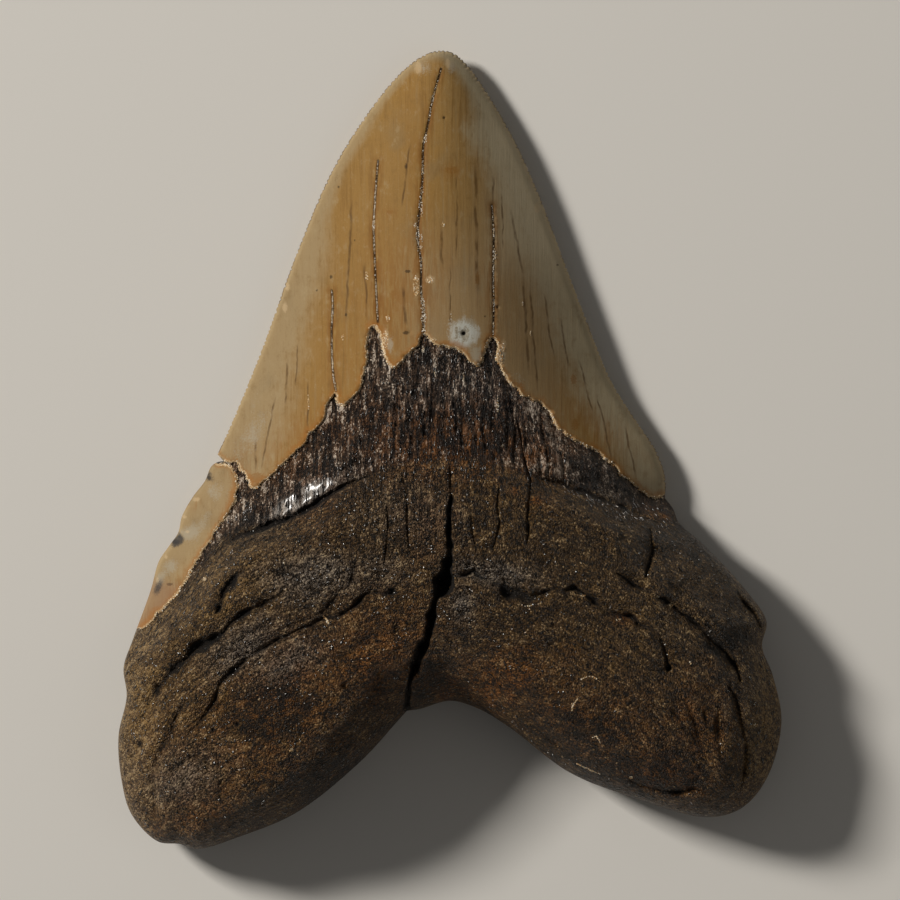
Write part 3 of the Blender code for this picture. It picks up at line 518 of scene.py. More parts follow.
# %% Pits, as blunt cones
def pit_cut(pits, points):
    """How deep the pits have cut at each point."""
    cut = np.zeros(len(points))
    for x, y, radius, depth in pits:
        distance = np.hypot(points[:, 0] - x, points[:, 1] - y)
        distance *= 0.75 + 0.5 * hills(points[:, 0] * 1.4, points[:, 1] * 1.4, 31)
        cut = np.maximum(cut, depth * (1.0 - ease(0.1 * radius, 1.15 * radius, distance)))
    return cut


deepest = max(ROOT_PITS, key=lambda pit: pit[-1])
print("the deepest pit cuts", *pit_cut(ROOT_PITS, np.array([deepest[:2]])).round(2), "mm")

# %% [markdown]
# ## The fibrous band and the bark
#
# Below the enamel the dentine has weathered into upright fibres, and the root's bark is a crust
# of grains with low ridges that follow the two lobes. Bump in a material would only fake this, and
# it would vanish along the skyline, so the larger relief is real: stretched random hills, narrow
# across the fibres and long along them.


# %% Fibres and bark as heights
def arch(x, y):
    """y counted along the arcs of the two lobes."""
    return y + np.where(x < 0, 0.0088, 0.0076) * x**2


def mound(points, middle, reach):
    """1 over the middle, and fading out over the reach, which has an x and a y."""
    u, v = ((points - middle) / reach).T
    return np.exp(-(u**2) - v**2)


def fibre_relief(points, below, enamel):
    """Upright ridges on the band, which fade out over the middle of the root."""
    x, y = points.T
    fan = x * (1.0 + 0.008 * (y - 4.0)) + 0.9 * hills(x * 0.3, y * 0.22, 5)
    fine = hills(fan * 2.1, y * 0.30, 11)
    broad = hills(fan * 0.95, y * 0.11 + 9.0, 12)
    broken = hills(fan * 1.2, y * 0.8, 13)
    ridge = 0.16 * (1.0 - np.abs(2 * fine - 1)) + 0.34 * broad + 0.14 * broken
    on_band = ease(-0.1, 0.5, -enamel) * (1.0 - ease(-0.5, 1.6, below))
    middle = np.exp(-(((x + 1.0) / 15.0) ** 4))
    on_root = 0.85 * (1.0 - ease(2.0, 18.0, below)) * middle * ease(-0.5, 1.0, below)
    return ridge * np.maximum(on_band, on_root)


def bark_relief(points, below):
    """Grains, hollows and low ridges that run round the lobes."""
    x, y = points.T
    arched = arch(x, y) + 1.2 * hills(x * 0.15, y * 0.15, 20)
    flow = hills(x * 0.07, arched * 0.33, 21) + 0.5 * hills(x * 0.16, arched * 0.8, 22)
    lumps = hills(x * 0.42 + 40, y * 0.42, 23)
    grain = 0.6 * hills(x * 1.15, y * 1.15, 24) + 0.4 * hills(x * 2.1, y * 2.1, 25)
    hollow = ease(0.70, 0.92, hills(x * 0.36, arched * 0.75 + 20, 26))
    height = 0.55 * flow + 0.30 * lumps + 0.22 * grain - 0.35 * hollow - 0.25
    return height * ease(-0.8, 1.6, below)


SPOTS = {"blade": (0.0, 30.0), "band": (0.0, 6.0), "root": (-20.0, -35.0)}  # to try heights on
print("relief in mid band, mm:", *fibre_relief(np.array([SPOTS["band"]]), -7.0, -8.0).round(2))
print("relief on the left lobe, mm:", *bark_relief(np.array([SPOTS["root"]]), 20.0).round(2))

# %% [markdown]
# ## Two faces over one plan
#
# The tooth is raised from its plan as two heights, one for each face. Sculpting it by hand would
# give the same look, but heights written as a rule keep the skin on the solid everywhere.

# %% Heights that both faces share
ROOT_EDGE_LIFT = 7.6
CROWN_EDGE_LIFT = 3.3
ENAMEL_STEP = 0.32
EDGE_HALF_THICKNESS = 0.35
EDGE_ROUNDING = 0.9
LOBE_ROUNDING = 8.6
NOTCH_ROUNDING = 4.0
SHOULDER_ROUNDING = 5.0
TIP_ROUNDING = 3.4
LABIAL_ROUNDING = 6.0
ROOT_BLEND = (-3.5, 5.0)  # distances below the band between which the blade becomes the root
TIP_SPAN = (48.0, 60.0)
ENAMEL_LIP = (-0.12, 0.16)  # distances inside the enamel over which it rises
RIM_CALM = 1.4  # relief grows from nothing over this distance from the rim
FIBRE_MEAN, BARK_MEAN = 0.25, 0.2  # taken off the reliefs, so that they don't lift the skin
FEET = ((-37.0, -49.0), (38.0, -45.5), (-1.6, 12.0))
FOOT_REACH = (11.0, 11.0)
FOOT_LIFT = 1.15


def undulation(points):
    """Slow, shallow unevenness, between about -1 and 1."""
    x, y = points.T
    wave = np.sin(0.47 * x + 0.21 * y + 0.8) * np.sin(0.19 * x - 0.43 * y)
    return 0.6 * wave + 0.4 * np.sin(0.83 * x - 0.3 * y + 2.1) * np.sin(0.71 * y + 0.4 * x)


def root_form(points):
    """Height of the root's bark, before its rim is rounded over."""
    x, y = points.T
    crest = through(SPINE, np.clip(arch(x, y), -44.0, 10.0))
    taper = 1.0 - 0.43 * np.abs(x / 53.0) ** 2.1
    swell = 1.1 * mound(points, (-30.0, -47.0), (13.0, 11.0))
    swell += 1.1 * mound(points, (33.0, -42.0), (14.0, 10.0))
    dip = 1.3 * mound(points, (1.0, -36.0), (10.0, 9.0))
    return crest * taper + swell - dip


def shared_form(points, rim, below):
    """What both faces start from: the root's share, the edge's height and how round the tip is."""
    root = ease(*ROOT_BLEND, below)
    edge = CROWN_EDGE_LIFT + (ROOT_EDGE_LIFT - CROWN_EDGE_LIFT) * root
    tip = 1.0 + (quarter_round(rim / TIP_ROUNDING) - 1.0) * ease(*TIP_SPAN, points[:, 1])
    return root, edge, tip


print("root's form at the left lobe, mm:", *root_form(np.array([SPOTS["root"]])).round(1))


# %% The lingual height
def lingual_height(points, rim, below, enamel):
    """The bulging upper face."""
    x, y = points.T
    root, edge, tip = shared_form(points, rim, below)
    bow = 1.0 - plan.across(points) ** 2
    blade = (through(SPINE, y) - CROWN_EDGE_LIFT) * (0.62 * bow + 0.38 * bow**2)
    blade = blade * ease(0.0, 0.5, rim) * tip
    shoulder = ease(18.0, 32.0, np.abs(x)) * (1.0 - ease(0.0, 22.0, below))
    notch = np.exp(-((x / 16.0) ** 2))
    rounding = LOBE_ROUNDING + NOTCH_ROUNDING * notch + SHOULDER_ROUNDING * shoulder
    bark = (root_form(points) - ROOT_EDGE_LIFT) * quarter_round(rim / rounding)
    height = edge + EDGE_HALF_THICKNESS * quarter_round(rim / EDGE_ROUNDING)
    height = height + blade * (1 - root) + bark * root

    on_enamel = ease(*ENAMEL_LIP, enamel)
    relief = ENAMEL_STEP * on_enamel
    left_roll = ease(13.0, 17.0, -x) * (1.0 - ease(31.0, 36.0, -x))
    right_roll = ease(12.0, 17.0, x) * (1.0 - ease(28.0, 33.0, x))
    roll = ease(-7.0, -3.4, below) * np.clip((-0.3 - below) / 3.1, 0.0, 1.0)
    roll = roll * ease(-0.2, 1.0, -enamel)
    relief += (1.5 * left_roll + 1.3 * right_roll) * roll
    flank = ease(9.0, 20.0, np.abs(x + 2.0)) * ease(1.0, 5.0, rim)
    relief += 0.5 * flank * np.exp(-(((below - 2.8) / 1.8) ** 2))
    relief += 0.3 * undulation(points) * ease(1.0, 5.0, below)
    relief += fibre_relief(points, below, enamel) - FIBRE_MEAN
    relief += bark_relief(points, below) - BARK_MEAN
    relief += (FIBRE_MEAN + BARK_MEAN) * on_enamel
    relief -= pit_cut(ROOT_PITS + CROWN_PITS, points)
    for crack in root_cracks + crown_cracks + furrows:
        relief -= crack.cut(points)
    return height + relief * ease(0.0, RIM_CALM, rim)


def tried(height, face):
    """A face's height at each of the spots, rounded to a tenth of a millimetre."""
    points = np.array(list(SPOTS.values()))
    rim, below = plan.rim_distance(points), plan.below_band(points)
    heights = height(points, rim, below, plan.enamel_depth(points, face))
    return dict(zip(SPOTS, heights.round(1).tolist()))


print("upper face, mm:", tried(lingual_height, "lingual"))


# %% The labial height
def labial_height(points, rim, below, enamel):
    """The flatter lower face. It rests on the two lobes and on the middle of the blade."""
    x, y = points.T
    root, edge, tip = shared_form(points, rim, below)
    hollow = 1.4 * mound(points, (0.0, -24.0), (15.0, 12.0))
    trough = 0.9 * np.exp(-(((y + 7 + 0.006 * x**2) / 5.0) ** 2))
    curl = 1.3 * ease(36.0, 66.0, y)
    feet = sum(mound(points, foot, FOOT_REACH) for foot in FEET)
    base = FOOT_LIFT + hollow + trough + curl - (FOOT_LIFT + 0.4) * feet
    base = base + 0.18 * undulation(points[:, ::-1]) * root
    depth = edge - EDGE_HALF_THICKNESS - base
    bow = 1.0 - np.abs(plan.across(points)) ** 2.2
    blade = depth * bow * ease(0.0, 0.5, rim) * tip
    flat = depth * quarter_round(rim / LABIAL_ROUNDING)
    height = edge - EDGE_HALF_THICKNESS * quarter_round(rim / EDGE_ROUNDING)
    height = height - blade * (1 - root) - flat * root

    relief = pit_cut(LABIAL_PITS, points) - 0.35 * ease(-0.3, 0.3, enamel)
    relief += 0.35 - 0.8 * bark_relief(points[:, ::-1] + 60.0, -enamel)
    for crack in labial_cracks:
        relief += crack.cut(points)
    return np.maximum(height + relief * ease(0.0, RIM_CALM, rim), 0.0)


print("lower face, mm:", tried(labial_height, "labial"))

# %% [markdown]
# ## The points of the skin
#
# A regular grid would waste points on the smooth enamel and starve the cracks. So the points are
# laid zone by zone: close rings where the rim turns over, lines of points down both banks of
# every crack, a fine grid on the fibres and the bark, and a coarse one on the enamel.

# %% How fine each zone is
CELL = {"crown": 0.52, "band": 0.29, "root": 0.37, "labial": 0.80}
ROOT_RIM_STEP = 0.45
RIM_ANGLES = (6, 12, 18, 24, 30, 36, 42, 48, 54, 60, 66, 72, 78, 84)
BLADE_RINGS = ((0.15, 2), (0.4, 2), (0.8, 3))  # distance in, and every how many points


def outline_rings():
    """The outline, the blade's stretch of it, and the rings of points that turn over the rim."""
    root = curve_through(ROOT_SIDE, ROOT_RIM_STEP)
    notch = curve_through(NOTCH_SIDE, ROOT_RIM_STEP)
    blade = curve_through(CUTTING_EDGE, SERRATION_PITCH / 6)
    outline = np.concatenate([root[:-1], notch[:-1], blade[:-1], np.array(NICK[:1])])
    rings = []
    for reach, every in BLADE_RINGS:
        ring = (blade + left_of(blade) * reach)[4:-4:every]
        rings.append(ring[plan.rim_distance(ring) > 0.9 * reach])
    bark = np.concatenate([root, notch])
    width = LOBE_ROUNDING * ease(-9.0, 4.0, plan.below_band(bark))
    for angle in RIM_ANGLES:
        reach = width * (1.0 - math.cos(math.radians(angle)))
        ring = bark + left_of(bark) * reach[:, None]
        clear = plan.rim_distance(ring) > 0.95 * reach
        rings.append(ring[clear & (reach > 0.04) & inside(plan.ring, ring)])
    return outline, blade, rings


outline, blade_edge, rim_rings = outline_rings()
print("outline points:", len(outline), "and in the rim's rings:", sum(map(len, rim_rings)))


# %% Grids, and keeping points apart
def lattice(cell):
    """Points on a triangular grid over the whole plan."""
    low, high = plan.ring.min(axis=0), plan.ring.max(axis=0)
    rows = np.arange(low[1], high[1], cell * math.sqrt(3) / 2)
    grid = []
    for number, y in enumerate(rows):
        xs = np.arange(low[0] + (number % 2) * cell / 2, high[0], cell)
        grid.append(np.stack([xs, np.full(len(xs), y)], axis=1))
    grid = np.concatenate(grid)
    grid = grid + 0.16 * cell * (hills(grid[:, :1] * 7.1, grid[:, 1:] * 7.3, 3) - 0.5)
    return grid[inside(plan.ring, grid)]


def spaced(points, kept, gap):
    """The points that lie at least gap from every kept one."""
    tree = KDTree(len(kept))
    for number, (x, y) in enumerate(kept):
        tree.insert((x, y, 0.0), number)
    tree.balance()
    far = [tree.find((x, y, 0.0))[2] > gap for x, y in points]
    return points[np.array(far, bool)]


def filling(face, rings, features):
    """The grid points between the rings and the lines, zone by zone."""
    kept = np.concatenate([features, *rings])
    zones = []
    names = ("labial",) if face == "labial" else ("crown", "band", "root")
    for name in names:
        cell = CELL[name]
        grid = lattice(cell)
        below = plan.below_band(grid)
        if face == "lingual":
            enamel = plan.enamel_depth(grid, face)
            on = {"crown": enamel > 0.4, "band": (enamel <= 0.4) & (below < 1.8)}
            on["root"] = (enamel <= 0.4) & (below >= 1.8)
            grid, below = grid[on[name]], below[on[name]]
        on_root = ease(-2.0, 3.0, below)
        grid = grid[plan.rim_distance(grid) > 1.0 + on_root * (LOBE_ROUNDING - 1.9)]
        zones.append(spaced(grid, kept, 0.62 * cell))
    return zones


print("a grid for the labial face alone:", len(lattice(CELL["labial"])), "points")


# %% The lines that the mesh's edges follow
def feature_lines(face):
    if face == "labial":
        margins, cracks, pits = [plan.labial_margin], labial_cracks, ()
    else:
        margins, cracks = [plan.margin, plan.strip_edge], root_cracks + crown_cracks
        pits = CROWN_PITS
    lines = [line + left_of(line) * gap for line in margins for gap in (-0.14, 0.0, 0.16)]
    for crack in cracks:
        lines += [crack.line[:, :2]] + crack.offsets() + crack.offsets(crack.ledge)
    turns = np.linspace(0.0, 2.0 * math.pi, 13)
    for x, y, radius, _ in pits:
        lines += [np.stack([x + r * np.cos(turns), y + r * np.sin(turns)], axis=1)
                  for r in (0.4 * radius, radius)]
    return lines


print("lines on the upper face:", len(feature_lines("lingual")))

# %% [markdown]
# ## Joining the points
#
# Blender's constrained Delaunay triangulation joins scattered points into well-shaped triangles
# and keeps the given lines as edges. Both faces use the same outline points, so the skin closes
# along the rim without any welding.


# %% One face as triangles
def triangulated(face):
    """(points in plan, triangles) of one face. The first points are the outline's."""
    points = [tuple(p) for p in outline]
    edges = [(i, (i + 1) % len(outline)) for i in range(len(outline))]
    features = []
    for line in feature_lines(face):
        keep = inside(plan.ring, line) & (plan.rim_distance(line) > 0.4)
        last = None
        for point, kept in zip(line, keep):
            if kept:
                points.append(tuple(point))
                features.append(point)
                if last is not None:
                    edges.append((last, len(points) - 1))
            last = len(points) - 1 if kept else None
    features = np.array(features)
    rings = rim_rings if face == "lingual" else rim_rings[::2]
    rings = [spaced(ring, features, 0.25) for ring in rings]
    for zone in [*rings, *filling(face, rings, features)]:
        points += [tuple(p) for p in zone]
    points = [Vector(p) for p in points]
    found = delaunay_2d_cdt(points, edges, [], 1, 1e-5)
    flat = [corners for corners in found[2] if max(corners) < len(outline)]
    points += [sum((points[i] for i in corners), Vector((0, 0))) / 3 for corners in flat]
    found = delaunay_2d_cdt(points, edges, [], 1, 1e-5)
    flat_points = np.array([tuple(p) for p in found[0]])
    print(face, "face:", len(flat_points), "points,", len(found[2]), "triangles")
    return flat_points, np.array(found[2])


faces = {face: triangulated(face) for face in ("lingual", "labial")}

# %% [markdown]
# ## What the finish needs to know
#
# A finish follows the tooth's parts: the enamel's edge, the cracks, the rust on the lobes. Each
# of these is a number stored at every point of the skin, an attribute, so that the material can
# read it on any face, and it travels with the mesh when the model is exported.

# %% Stains, as soft ellipses
# Each is (x, y, half length, half width, turn in degrees, strength).
RUST = (
    (7.5, -37.0, 8.0, 4.5, 10, 0.9), (-11.0, -33.5, 9.0, 7.5, 20, 0.75),
    (39.0, -41.5, 4.5, 6.0, 10, 0.55), (0.5, 2.6, 13.0, 6.5, 0, 0.95),
    (14.0, 0.0, 4.5, 6.0, 0, 0.7), (-22.0, -6.0, 5.0, 6.0, 0, 0.45),
    (33.5, -10.4, 1.6, 0.9, -20, 1.0), (31.5, -9.5, 1.2, 0.8, 0, 0.7),
    (27.5, -27.0, 1.5, 0.9, 0, 0.9), (20.0, -42.0, 12.0, 6.0, -25, 0.45),
    (-26.0, -39.0, 12.0, 7.0, 35, 0.6), (0.0, -38.0, 4.0, 3.0, 0, 0.8),
    (-3.0, -12.0, 5.0, 7.0, 0, 0.25), (33.0, -51.5, 10.0, 4.0, -10, 0.75),
    (40.5, -45.0, 5.0, 8.0, 0, 0.5), (-40.0, -58.0, 9.0, 4.0, 15, 0.5),
    (-28.0, -45.0, 18.0, 11.0, 30, 0.4), (22.0, -43.0, 20.0, 8.0, -25, 0.4),
    (13.6, -8.0, 0.9, 0.7, 0, 1.0), (10.4, -6.4, 0.7, 0.7, 0, 0.9),
)
OCHRE = (
    (-35.0, -22.0, 10.0, 6.0, 40, 0.8), (-40.0, -44.0, 8.0, 14.0, 0, 0.5),
    (-25.0, -50.0, 13.0, 5.0, 35, 0.35), (28.0, -28.0, 16.0, 9.0, -20, 0.35),
    (8.0, -8.0, 10.0, 6.0, 0, 0.35), (-5.0, -16.0, 10.0, 9.0, 0, 0.2),
    (10.0, -44.0, 8.0, 3.0, -35, 0.5), (43.0, -20.0, 9.0, 6.0, -35, 0.3),
    (-49.0, -41.0, 4.0, 14.0, 0, 0.9), (50.0, -42.0, 3.5, 9.0, 0, 0.9),
    (-42.0, -27.0, 7.0, 4.0, 50, 0.8), (22.0, -36.0, 6.0, 3.0, 10, 0.4),
    (45.0, -50.0, 6.0, 5.0, 0, 0.8),
)
# Glossy patches: smoother there, and painted pale grey as a painted sheen.
GLOSS_AND_PAINTED_SHEEN = (
    (-23.5, -7.6, 7.2, 1.9, 30, 1.0), (-22.0, -20.0, 7.5, 3.8, 5, 0.75),
    (-33.0, -31.5, 6.0, 3.4, 35, 0.7), (-26.0, -34.0, 6.0, 3.0, 35, 0.6),
    (3.0, 9.0, 14.0, 6.0, 0, 0.35), (26.5, -5.5, 8.0, 1.8, -25, 0.2),
    (-6.0, -10.0, 8.0, 6.0, 0, 0.3), (6.5, -19.4, 6.5, 1.8, -8, 0.8),
    (2.0, -24.6, 1.8, 2.6, 0, 0.85), (-42.0, -52.0, 6.0, 4.0, 30, 0.5),
    (-12.0, -19.0, 5.0, 3.0, 0, 0.4),
)
AMBER = (
    (-5.6, 27.5, 5.5, 8.0, 0, 0.9), (-9.4, 23.0, 4.5, 10.0, 0, 1.1), (0.2, 44.5, 1.9, 1.3, 0, 1.0),
    (-9.5, 37.8, 1.3, 1.1, 0, 0.9), (-16.5, 18.0, 4.0, 12.0, 0, 0.5),
    (6.4, 25.5, 2.4, 7.0, 0, 0.55), (-5.0, 38.0, 2.0, 20.0, 3, 0.45),
    (10.0, 22.0, 4.0, 8.0, 0, 0.3), (-33.0, -1.0, 2.0, 4.0, -30, 0.6),
    (23.0, 3.5, 9.0, 3.0, -38, 0.75), (-24.0, 2.5, 9.0, 3.0, 40, 0.85),
    (-43.6, -22.0, 3.4, 1.6, 55, 1.1), (-47.6, -26.6, 2.4, 1.6, 40, 1.1),
    (-40.8, -8.6, 1.2, 0.7, 60, 0.8), (-36.0, -9.6, 3.4, 0.7, 55, 0.7),
)
MILKY = (
    (2.6, 18.8, 2.6, 2.5, 0, 1.0), (4.2, 15.2, 1.6, 2.2, 20, 0.8), (-9.6, 16.6, 0.7, 1.8, 0, 0.9),
    (8.0, 15.2, 1.0, 2.0, 0, 0.9), (-4.2, 61.0, 2.0, 1.6, 0, 0.6), (0.2, 61.4, 1.2, 1.4, 0, 0.6),
    (11.0, 11.4, 3.2, 1.0, -40, 0.45), (-41.6, -13.2, 2.2, 1.4, 30, 0.9),
    (-37.6, -6.6, 2.0, 2.4, 60, 0.6), (-44.6, -18.6, 1.6, 1.6, 0, 0.7),
    (-40.2, -12.6, 1.2, 4.0, -30, 0.6), (-31.6, 2.4, 2.6, 6.0, -35, 0.55),
    (-46.4, -20.6, 1.0, 2.6, -25, 0.7), (-31.0, 8.0, 1.4, 5.0, -30, 0.4),
)
GREY = (
    (-38.5, -4.3, 0.9, 1.1, 30, 1.0), (-43.5, -14.5, 1.4, 0.9, 40, 1.3),
    (-46.7, -22.0, 0.8, 2.0, -20, 0.8), (-41.0, -10.0, 2.0, 4.0, 25, 0.25),
)


def stained(spots, points, seed):
    """How strongly the spots stain each point, with ragged edges."""
    x, y = points.T
    found = np.zeros(len(points))
    small = hills(x * 1.5, y * 1.5, seed + 1) - 0.5
    ragged = 0.7 + 0.6 * hills(x * 0.5, y * 0.5, seed) + 0.35 * small
    for cx, cy, long, wide, turn, strength in spots:
        cos, sin = math.cos(math.radians(turn)), math.sin(math.radians(turn))
        u = ((x - cx) * cos + (y - cy) * sin) / long
        v = ((y - cy) * cos - (x - cx) * sin) / wide
        found = np.maximum(found, strength * np.exp(-((u**2 + v**2) * ragged)))
    return found


print("stains placed:", sum(map(len, (RUST, OCHRE, GLOSS_AND_PAINTED_SHEEN, AMBER, MILKY, GREY))))


# %% The numbers at each point of one face
FAR = 9.0  # stands for the distance to a crack where a face has none


def readings(face, points):
    """Rim distance, enamel depth and so on for every point of a face, by name."""
    rim = plan.rim_distance(points)
    rim[: len(outline)] = 0.0
    enamel = plan.enamel_depth(points, face)
    below = plan.below_band(points)
    lingual = face == "lingual"
    height = (lingual_height if lingual else labial_height)(points, rim, below, enamel)
    cracks = root_cracks + crown_cracks + furrows if lingual else labial_cracks
    cut = sum(crack.cut(points, core_only=True) for crack in cracks)
    cut = cut + pit_cut(ROOT_PITS + CROWN_PITS if lingual else LABIAL_PITS, points)
    near_crack = np.full(len(points), FAR)
    for crack in crown_cracks if lingual else ():
        near_crack = np.minimum(near_crack, nearest_on(crack.line, points)[0])
    blank = np.zeros(len(points))
    drawn, faint = (points, 1.0) if lingual else (points * (-1, 1), 0.5)
    return {
        "height": height,
        "rim": rim,
        "enamel": enamel,
        "below": below if lingual else np.maximum(below, 2.0 - enamel),
        "upper": blank + lingual,
        "cut": cut,
        "near_crack": near_crack,
        "rust": faint * stained(RUST, drawn, 41),
        "ochre": stained(OCHRE, drawn, 43),
        "gloss": stained(GLOSS_AND_PAINTED_SHEEN, points, 45) if lingual else blank + 0.2,
        "amber": faint * stained(AMBER, drawn, 47),
        "milky": stained(MILKY, points, 49) if lingual else blank,
        "grey": stained(GREY, points, 51),
    }


print("kept at each point:", ", ".join(readings("labial", outline[:9])))


# %% Where each point lies along the cutting edge, and which way is inwards
EDGE_REACH = 1.2


def along_edge(points, rim):
    """For points near the cutting edge: how far along it, and the way inwards. Also its length."""
    run = np.full(len(points), -1.0)
    inward = np.zeros((len(points), 2))
    near = np.flatnonzero(rim < EDGE_REACH)
    distance, along, _ = nearest_on(blade_edge[::2], points[near])
    close = near[distance < EDGE_REACH]
    along = along[distance < EDGE_REACH]
    run[close] = along
    edge_run = run_of(blade_edge)
    direction = left_of(blade_edge)
    for axis in range(2):
        inward[close, axis] = np.interp(along, edge_run, direction[:, axis])
    return run, inward, edge_run[-1]


print("counted as cutting edge:", EDGE_REACH, "mm in from the rim")


# %% [markdown]
# ## The skin as one mesh
#
# The labial face takes its outline points from the lingual one, its triangles are turned to
# face down, and the readings become attributes.


# %% Building the skin
def joined():
    """(points, triangles, readings by name) of the whole tooth, in millimetres of the plan."""
    upper, lower = faces["lingual"][0], faces["labial"][0]
    rim_count = len(outline)
    assert np.abs(upper[:rim_count] - lower[:rim_count]).max() < 1e-4
    top, bottom = readings("lingual", upper), readings("labial", lower)
    values = {name: np.concatenate([top[name], bottom[name][rim_count:]]) for name in top}
    plan_points = np.concatenate([upper, lower[rim_count:]])
    inner = np.arange(rim_count, len(lower)) + len(upper) - rim_count
    numbers = np.concatenate([np.arange(rim_count), inner])
    triangles = np.concatenate([faces["lingual"][1], numbers[faces["labial"][1]][:, ::-1]])
    return plan_points, triangles, values


def added(name, data):
    """A new object in the scene."""
    made = bpy.data.objects.new(name, data)
    bpy.context.scene.collection.objects.link(made)
    return made


def store(mesh, name, numbers):
    """One number for each point of a mesh, kept under a name."""
    layer = mesh.attributes.new(name, "FLOAT", "POINT")
    layer.data.foreach_set("value", np.asarray(numbers, np.float32))


plan_points, triangles, values = joined()
run, inward, edge_length = along_edge(plan_points, values["rim"])
placed = np.column_stack([plan_points + PLAN_MOVED, values.pop("height")])
skin_mesh = bpy.data.meshes.new("tooth_skin")
skin_mesh.from_pydata((placed * MM).tolist(), [], triangles.tolist())
skin_mesh.shade_smooth()
for name, numbers in {**values, "edge_run": run}.items():
    store(skin_mesh, name, numbers)
inward = np.column_stack([inward, 0 * run]).astype(np.float32)
layer = skin_mesh.attributes.new("inward", "FLOAT_VECTOR", "POINT")
layer.data.foreach_set("vector", inward.ravel())
tooth_skin = added("tooth_skin", skin_mesh)
print("skin:", len(triangles), "triangles, cutting edge", round(edge_length, 1), "mm long")

# %% [markdown]
# ## Node trees written as expressions
#
# A node tree drawn by hand is hard to read back. Here one small class stands for a socket and
# adds a Math node whenever it meets an operator, so a recipe reads like a formula. Every other
# node comes from one method, `add`.


# %% Sockets that do arithmetic
class Wire:
    """A value that runs through a node tree."""

    def __init__(self, tree, socket):
        self.tree, self.socket = tree, socket

    def of(self, name):
        """Another output of the same node."""
        return Wire(self.tree, self.socket.node.outputs[name])

    def math(self, operation, *others):
        inputs = dict(enumerate((self, *others)))
        return self.tree.add("ShaderNodeMath", {"operation": operation}, inputs)

    def __add__(self, other):
        return self.math("ADD", other)

    def __sub__(self, other):
        return self.math("SUBTRACT", other)

    def __rsub__(self, other):
        return self.tree.add("ShaderNodeMath", {"operation": "SUBTRACT"}, {0: other, 1: self})

    def __mul__(self, other):
        return self.math("MULTIPLY", other)

    def __truediv__(self, other):
        return self.math("DIVIDE", other)

    def __pow__(self, other):
        return self.math("POWER", other)

    def __abs__(self):
        return self.math("ABSOLUTE")

    __radd__, __rmul__ = __add__, __mul__

    def least(self, other):
        return self.math("MINIMUM", other)

    def most(self, other):
        return self.math("MAXIMUM", other)

    def ease(self, low, high):
        """0 below low, 1 above high, and smooth between."""
        inputs = {"Value": self, "From Min": low, "From Max": high}
        return self.tree.add("ShaderNodeMapRange", {"interpolation_type": "SMOOTHSTEP"}, inputs)


print("besides arithmetic a wire knows:", ", ".join(name for name in vars(Wire) if name[0] != "_"))


# %% Nodes in one line each
class Tree:
    """A shader or geometry tree that grows as it is described."""

    def __init__(self, tree):
        self.tree = tree

    def add(self, kind, settings=None, inputs=None, output=0):
        """A node with its settings, then its inputs as values or wires. Gives back one output."""
        node = self.tree.nodes.new(kind)
        for name, value in (settings or {}).items():
            if name == "stops":
                ramp = node.color_ramp
                while len(ramp.elements) < len(value):
                    ramp.elements.new(0.5)
                for element, (place, colour) in zip(ramp.elements, value):
                    element.position, element.color = place, colour
            else:
                setattr(node, name, value)
        for name, value in (inputs or {}).items():
            socket = node.inputs[name]
            if isinstance(value, Wire):
                self.tree.links.new(value.socket, socket)
            elif value is not None:
                socket.default_value = value
        return Wire(self, node.outputs[output]) if node.outputs else node


print("Tree.add gives:", Tree.add.__doc__)

# %% [markdown]
# ## Serrations
#
# The blade cuts like a bread knife: scallops about 0.7 mm apart run down both edges. They repeat
# along a path, so Geometry Nodes make them: every point near the edge moves inwards by a
# wave of its run along the edge. Old teeth are worn, so random hills change each scallop's depth.


# %% The serration tree
def geometry_tree(name, inputs):
    """A Geometry Nodes tree with named inputs: (tree, first wires by name, identifiers by name)."""
    group = bpy.data.node_groups.new(name, "GeometryNodeTree")
    group.interface.new_socket(name="Geometry", in_out="INPUT", socket_type="NodeSocketGeometry")
    group.interface.new_socket(name="Geometry", in_out="OUTPUT", socket_type="NodeSocketGeometry")
    for label, kind in inputs.items():
        group.interface.new_socket(name=label, in_out="INPUT", socket_type="NodeSocket" + kind)
    tree = Tree(group)
    start = group.nodes.new("NodeGroupInput")
    wires = {socket.name: Wire(tree, socket) for socket in start.outputs if socket.name}
    items = group.interface.items_tree
    identifiers = {item.name: item.identifier for item in items if item.in_out == "INPUT"}
    return tree, wires, identifiers


def scaled(tree, vector, scale):
    inputs = {"Vector": vector, "Scale": scale}
    return tree.add("ShaderNodeVectorMath", {"operation": "SCALE"}, inputs)


def end_tree(tree, geometry):
    end = tree.tree.nodes.new("NodeGroupOutput")
    tree.tree.links.new(geometry.socket, end.inputs[0])


def named(tree, name, kind="FLOAT"):
    """A value stored at each point, read by its name."""
    return tree.add("GeometryNodeInputNamedAttribute", {"data_type": kind}, {"Name": name})


def hills_along(tree, place):
    """Random hills along a line, about one for each unit of place."""
    inputs = {"W": place, "Scale": 1.0}
    return tree.add("ShaderNodeTexNoise", {"noise_dimensions": "1D"}, inputs)


